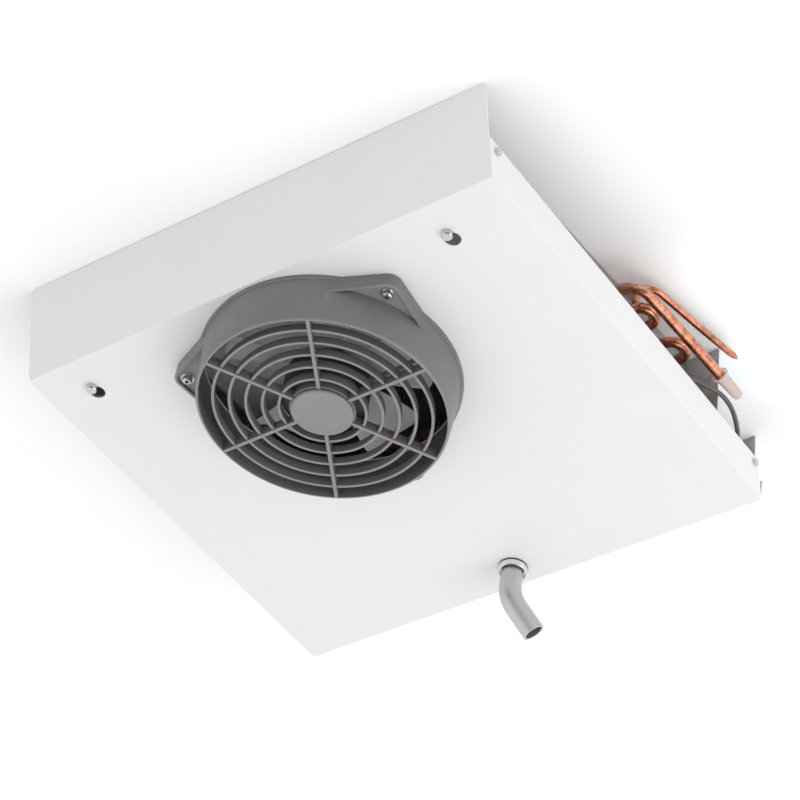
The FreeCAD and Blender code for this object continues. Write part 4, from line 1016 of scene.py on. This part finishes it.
def make_lines():
    """The thick suction tube, open at its end, and the thin tube with its pinched end."""
    form = bmesh.new()
    points = [PAN_PLACE @ (Vector(point) * MM) for point in SUCTION_ROUTE]
    wall = 0.8 * MM
    path = rounded_path(points, 15 * MM)
    add_tube(form, path, TUBE_RADIUS, bore=TUBE_RADIUS - wall, depth=24 * MM)
    item = form_object("suction_tube", form, "drawn_copper")
    round_edges(item, 0.15 * MM, 50)
    keep(baked(item), "suction_line")
    form = bmesh.new()
    points = [PAN_PLACE @ (Vector(point) * MM) for point in LIQUID_ROUTE]
    ring, along, arms = add_tube(form, rounded_path(points, 9 * MM), THIN_TUBE_RADIUS)
    form.faces.remove([face for face in ring[0].link_faces if len(face.verts) == len(ring)][0])
    wide = along.cross(Vector((0, 0, 1))).normalized()
    thin = wide.cross(along)
    for reach, width, height in PINCH:
        following = []
        for arm in arms:
            side = wide * arm.dot(wide) * width + thin * arm.dot(thin) * height
            spot = points[-1] + along * reach * MM + side * THIN_TUBE_RADIUS
            following.append(form.verts.new(spot))
        for step in range(len(ring)):
            beside = (step + 1) % len(ring)
            form.faces.new((ring[step], ring[beside], following[beside], following[step]))
        ring = following
    form.faces.new(ring)
    keep(form_object("liquid_tube", form, "drawn_copper", 50), "liquid_line")


def make_tube_cap():
    """Soft clear cap pushed on the suction tube, with a flared mouth and a round end."""
    end, before = (PAN_PLACE @ (Vector(point) * MM) for point in SUCTION_ROUTE[:-3:-1])
    along = (end - before).normalized()
    place = Matrix.Translation(end) @ along.to_track_quat("Z", "Y").to_matrix().to_4x4()
    outline = (
        (0, 29.2), (2.6, 28.8), (4.4, 27.4), (5.0, 25), (5.3, 18), (5.75, 4), (6.2, 1.2),
        (7.5, -0.9), (7.9, -2.2), (7.4, -3.1), (6.5, -2.6), (5.6, -0.4), (4.95, 4), (4.5, 18),
        (4.2, 25), (3.6, 26.9), (2.2, 28), (0, 28.3),
    )
    item = turned_object("tube_cap", outline, place, "clear_polyethylene", smooth=80)
    keep(item, "suction_cap")


def make_drain():
    """Drain spout with one long bend, and the thin-walled collar that it hangs in."""
    place = PAN_PLACE @ Matrix.Translation((0, DRAIN_BACK, 0))
    turn = math.radians(42)
    heading = math.radians(35)
    leg = 42 * Vector((
        math.sin(turn) * math.sin(heading), math.sin(turn) * math.cos(heading), -math.cos(turn),
    ))
    corner = Vector((0, 0, -36))
    points = [place @ (point * MM) for point in (Vector((0, 0, 5)), corner, corner + leg)]
    form = bmesh.new()
    path = rounded_path(points, 36 * MM, 14)
    add_tube(form, path, 10.5 * MM, bore=8.5 * MM, depth=30 * MM, steps=40)
    item = form_object("drain_pipe", form, "satin_aluminium")
    round_edges(item, settings().metal_edge, 50)
    keep(baked(item), "drain_spout")
    outline = (
        (10.6, -1.5), (13.4, -1.5), (13.7, -1.9), (13.7, -6.9), (13.4, -7.5), (12.7, -7.6),
        (12.3, -7.2), (12.2, -3.2), (10.6, -3.0), (10.6, -1.5),
    )
    keep(turned_object("drain_ring", outline, place, "polished_nickel", 64), "drain_collar")


def make_hub_cap():
    """Round cap on the guard's hub: a bead at its edge round a shallow plain dish."""
    outline = (
        (0, -49.0), (17.0, -49.15), (23.6, -49.5), (24.3, -49.9), (25.6, -50.0), (26.9, -49.6),
        (27.6, -48.7), (27.75, -47.6), (26.4, -46.8), (24.6, -46.6), (24.4, -42.6), (23.2, -42.6),
        (23.0, -47.0), (0, -47.2),
    )
    keep(turned_object("hub_disc", outline, FAN_PLACE, "moulded_polyamide", 96, 42), "hub_cap")


def make_guard_screws():
    """The three screws in the guard's lugs, with a six-lobed recess in each head."""
    unit = recessed_head(
        "guard_screw_unit", radius=4.6 * MM, height=4.4 * MM, shank=2.5 * MM, length=18.9 * MM,
        recess=3.0 * MM, lobes=6,
    )
    place = FAN_PLACE @ Matrix.Translation((0, 0, -12.5 * MM))
    first = math.radians(90)
    zinc = material("zinc_plate")
    screws = ring_of("guard_screws_finished", unit, 3, 125 * MM, first, zinc, place)
    smooth_faces(screws.data, 30)
    keep(screws, "guard_screws")


def make_cable():
    """The fan's cable, drawn along its route."""
    curve = bpy.data.curves.new("fan_cable", "CURVE")
    curve.dimensions = "3D"
    curve.bevel_depth = settings().cable_diameter / 2
    curve.bevel_resolution = 6
    curve.use_fill_caps = True
    curve.resolution_u = 12
    spline = curve.splines.new("NURBS")
    spline.points.add(len(CABLE_ROUTE) - 1)
    for point, place in zip(spline.points, CABLE_ROUTE):
        point.co = (*(PAN_PLACE @ (Vector(place) * MM)), 1)
    spline.order_u = 3
    spline.use_endpoint_u = True
    curve.materials.append(material("extruded_pvc"))
    item = new_object("fan_cable", curve)
    keep(item, "power_cable")


# Stage

# Where the ceiling is painted paler, because the copper shades it there.
PALE_SPOT = Vector((0.285, 0.075, 0))


def make_ceiling():
    """White ceiling over the cooler; it is clear from above, so the top can be seen."""
    mesh = bpy.data.meshes.new("ceiling")
    reach = 9.0
    height = CAD_HIGH.z + 0.6 * MM
    corners = [(-reach, reach, height), (reach, reach, height)]
    corners += [(reach, -reach, height), (-reach, -reach, height)]
    mesh.from_pydata(corners, [], [(0, 1, 2, 3)])
    item = new_object("ceiling", mesh)
    paint = bpy.data.materials.new("ceiling_paint")
    paint.use_nodes = True
    tree = paint.node_tree
    tree.nodes.clear()
    ray = add(tree, "ShaderNodeLightPath")
    seen = add(tree, "ShaderNodeMath", {
        0: ray.outputs["Is Camera Ray"], 1: ray.outputs["Is Glossy Ray"],
    }, operation="MAXIMUM")
    seen = add(tree, "ShaderNodeMath", {
        0: seen.outputs[0], 1: ray.outputs["Is Transmission Ray"],
    }, operation="MAXIMUM")
    place = add(tree, "ShaderNodeTexCoord").outputs["Object"]
    away = add(
        tree, "ShaderNodeVectorMath", {0: place, 1: PALE_SPOT}, operation="DISTANCE"
    ).outputs["Value"]
    near = add(tree, "ShaderNodeMapRange", {
        0: away, 1: 0.04, 2: 0.15, 3: 1.0, 4: 0.0,
    }, interpolation_type="SMOOTHSTEP")
    white = add(tree, "ShaderNodeMix", {
        0: near.outputs[0], 6: (1.09, 1.09, 1.09, 1), 7: (1.34, 1.4, 1.42, 1),
    }, data_type="RGBA")
    tone = add(tree, "ShaderNodeMix", {
        0: seen.outputs[0], 6: (0.8, 0.8, 0.8, 1), 7: white.outputs[2],
    }, data_type="RGBA")
    matt = add(tree, "ShaderNodeBsdfDiffuse", {"Color": tone.outputs[2]})
    clear = add(tree, "ShaderNodeBsdfTransparent")
    side = add(tree, "ShaderNodeNewGeometry")
    mixed = add(tree, "ShaderNodeMixShader", {
        0: side.outputs["Backfacing"], 1: matt.outputs[0], 2: clear.outputs[0],
    })
    add(tree, "ShaderNodeOutputMaterial", {0: mixed.outputs[0]})
    mesh.materials.append(paint)
    item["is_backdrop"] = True


# Direction of the dark card, which stands below the cooler at its front right and gives metal
# its dark streak.
CARD = Vector((0.49, -0.58, -0.65))


def make_world():
    """Even white light, with a dark card that only gloss shows."""
    world = bpy.data.worlds.new("studio")
    world.use_nodes = True
    tree = world.node_tree
    tree.nodes.clear()
    ray = add(tree, "ShaderNodeLightPath")
    seen = add(tree, "ShaderNodeMath", {
        0: ray.outputs["Is Camera Ray"], 1: ray.outputs["Is Transmission Ray"],
    }, operation="MAXIMUM")
    level = add(tree, "ShaderNodeMapRange", {0: seen.outputs[0], 3: 0.86, 4: 1.0})
    direction = add(tree, "ShaderNodeTexCoord").outputs["Generated"]
    front = add(
        tree, "ShaderNodeVectorMath", {0: direction, 1: CARD}, operation="DOT_PRODUCT"
    ).outputs["Value"]
    card = add(tree, "ShaderNodeMapRange", {0: front, 1: 0.55, 2: 0.9, 3: 1.05, 4: 0.28})
    level = add(tree, "ShaderNodeMix", {
        0: ray.outputs["Is Glossy Ray"], 2: level.outputs[0], 3: card.outputs[0],
    })
    sky = add(tree, "ShaderNodeBackground", {
        "Color": (1, 1, 1, 1), "Strength": level.outputs[0],
    })
    add(tree, "ShaderNodeOutputWorld", {0: sky.outputs[0]})
    bpy.context.scene.world = world


def make_lamp(name, place, target, width, power):
    """Square soft lamp that points at the target."""
    light = bpy.data.lights.new(name, "AREA")
    light.shape = "SQUARE"
    light.size = width
    light.energy = power
    item = new_object(name, light)
    item.location = place
    item.rotation_mode = "QUATERNION"
    item.rotation_quaternion = (Vector(target) - Vector(place)).to_track_quat("-Z", "Y")


def make_camera():
    """Camera at the photograph's viewing angle, from below at the front right."""
    data = bpy.data.cameras.new("camera")
    data.sensor_width = 36
    data.lens = 126.05
    data.shift_x = -0.0230
    data.shift_y = 0.0076
    data.clip_start = 0.05
    data.clip_end = 60
    item = new_object("camera", data)
    right = Vector((0.80971, 0.57956, 0.09207)).normalized()
    forward = Vector((-0.49054, 0.58235, 0.64826))
    forward = (forward - right * forward.dot(right)).normalized()
    upright = right.cross(forward)
    turn = Matrix((right, upright, -forward)).transposed()
    item.matrix_world = Matrix.Translation((1.2525, -1.4967, -1.6924)) @ turn.to_4x4()
    bpy.context.scene.camera = item


class COOLER_OT_stage(bpy.types.Operator):
    """Make the ceiling, the light and the camera"""
    bl_idname = "cooler.stage"
    bl_label = "Stage"

    def execute(self, context):
        context.scene.view_settings.view_transform = "Standard"
        make_ceiling()
        make_world()
        make_lamp("key", (1.5, 0.5, -1.9), (0, 0, -0.1), 1.2, 10)
        make_lamp("side", (2.1, 0.4, -0.4), (0, -0.05, -0.1), 0.7, 4)
        make_camera()
        return {"FINISHED"}


class COOLER_OT_cable(bpy.types.Operator):
    """Make the fan's cable on its route"""
    bl_idname = "cooler.cable"
    bl_label = "Cable"

    def execute(self, context):
        make_cable()
        return {"FINISHED"}


class COOLER_OT_pan(bpy.types.Operator):
    """Finish the white drip pan"""
    bl_idname = "cooler.pan"
    bl_label = "Drip pan"

    def execute(self, context):
        cutter = pan_cutter()
        rounded_copy("drip_pan", "powder_coated_steel", settings().fold_radius, cutter=cutter)
        bpy.data.objects.remove(cutter)
        return {"FINISHED"}


class COOLER_OT_plates(bpy.types.Operator):
    """Finish the galvanised side plates and the baffle"""
    bl_idname = "cooler.plates"
    bl_label = "Side plates"

    def execute(self, context):
        edge = settings().metal_edge
        for side, node in ((-1, "side_plate_left"), (1, "side_plate_right")):
            cutter = key_cutter(side, 7.2, 0.5, 6)
            rounded_copy(node, "galvanised_steel", edge, cutter=cutter)
            bpy.data.objects.remove(cutter)
        rounded_copy("side_baffle", "galvanised_steel", edge)
        return {"FINISHED"}


class COOLER_OT_coil(bpy.types.Operator):
    """Make the coil's fins, tubes and bends"""
    bl_idname = "cooler.coil"
    bl_label = "Coil"

    def execute(self, context):
        make_fin_row()
        make_coil_tubes()
        return {"FINISHED"}


class COOLER_OT_lines(bpy.types.Operator):
    """Make the copper lines and the clear cap"""
    bl_idname = "cooler.lines"
    bl_label = "Copper lines"

    def execute(self, context):
        make_lines()
        make_tube_cap()
        return {"FINISHED"}


class COOLER_OT_guard(bpy.types.Operator):
    """Finish the moulded fan guard and its cap"""
    bl_idname = "cooler.guard"
    bl_label = "Fan guard"

    def execute(self, context):
        rounded_copy("fan_guard", "moulded_polyamide", settings().moulded_edge)
        make_hub_cap()
        return {"FINISHED"}


class COOLER_OT_motor(bpy.types.Operator):
    """Finish the motor"""
    bl_idname = "cooler.motor"
    bl_label = "Motor"

    def execute(self, context):
        edge = settings().metal_edge
        dress("stoved_enamel", edge, "motor_housing", "motor_end_cover")
        dress("ground_steel", 0, "motor_stator")
        dress("ground_steel", 0, "rotor_core", body=TURNING)
        dress("sintered_bronze", 0, "bearing_lower", "bearing_upper")
        dress("ground_steel", edge, "fan_shaft", body=TURNING)
        dress("zinc_plate", edge, "motor_screws")
        return {"FINISHED"}


class COOLER_OT_impeller(bpy.types.Operator):
    """Make the fan's blades and hub"""
    bl_idname = "cooler.impeller"
    bl_label = "Impeller"

    def execute(self, context):
        make_impeller()
        dress("zinc_plate", settings().metal_edge, "impeller_nut", body=TURNING)
        return {"FINISHED"}


class COOLER_OT_fasteners(bpy.types.Operator):
    """Make the screws, washers and nuts"""
    bl_idname = "cooler.fasteners"
    bl_label = "Fasteners"

    def execute(self, context):
        make_guard_screws()
        edge = settings().metal_edge
        dress("zinc_plate", edge, "guard_washers", "guard_nuts")
        dress("zinc_plate", edge, "keyhole_screws", "keyhole_nuts", "pan_side_screws")
        return {"FINISHED"}


class COOLER_OT_drain(bpy.types.Operator):
    """Finish the drain's collar, seal, nut and spout"""
    bl_idname = "cooler.drain"
    bl_label = "Drain"

    def execute(self, context):
        edge = settings().metal_edge
        make_drain()
        dress("satin_aluminium", edge, "drain_locknut")
        dress("moulded_rubber", edge, "drain_gasket")
        return {"FINISHED"}


class COOLER_OT_electrics(bpy.types.Operator):
    """Finish the terminal box and the cable's fittings"""
    bl_idname = "cooler.electrics"
    bl_label = "Electrics"

    def execute(self, context):
        edge = settings().moulded_edge
        dress("moulded_abs", edge, "terminal_box", "terminal_box_lid", "cable_gland")
        dress("moulded_rubber", edge, "web_grommet", "motor_cable_boss")
        return {"FINISHED"}


class COOLER_PT_panel(bpy.types.Panel):
    """Lists the sizes, the colours and the operators"""
    bl_label = "Unit cooler"
    bl_idname = "COOLER_PT_panel"
    bl_space_type = "VIEW_3D"
    bl_region_type = "UI"
    bl_category = "Cooler"

    def draw(self, context):
        for group in (context.scene.cooler_sizes, context.scene.cooler_colours):
            box = self.layout.box()
            for name in group.__annotations__:
                box.prop(group, name)
        for operator in OPERATORS:
            self.layout.operator(operator.bl_idname)


OPERATORS = (
    COOLER_OT_stage,
    COOLER_OT_cable,
    COOLER_OT_pan,
    COOLER_OT_plates,
    COOLER_OT_coil,
    COOLER_OT_lines,
    COOLER_OT_guard,
    COOLER_OT_motor,
    COOLER_OT_impeller,
    COOLER_OT_fasteners,
    COOLER_OT_drain,
    COOLER_OT_electrics,
)
GROUPS = (CoolerSizes, CoolerColours)


def register():
    """Make the groups, the operators and the panel known."""
    for item in (*GROUPS, *OPERATORS, COOLER_PT_panel):
        bpy.utils.register_class(item)
    bpy.types.Scene.cooler_sizes = PointerProperty(type=CoolerSizes)
    bpy.types.Scene.cooler_colours = PointerProperty(type=CoolerColours)


def unregister():
    """Take them out again."""
    del bpy.types.Scene.cooler_sizes
    del bpy.types.Scene.cooler_colours
    for item in reversed((*GROUPS, *OPERATORS, COOLER_PT_panel)):
        bpy.utils.unregister_class(item)


def main():
    """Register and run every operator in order."""
    register()
    for operator in OPERATORS:
        group, name = operator.bl_idname.split(".")
        getattr(getattr(bpy.ops, group), name)()


if __name__ == "__main__":
    main()
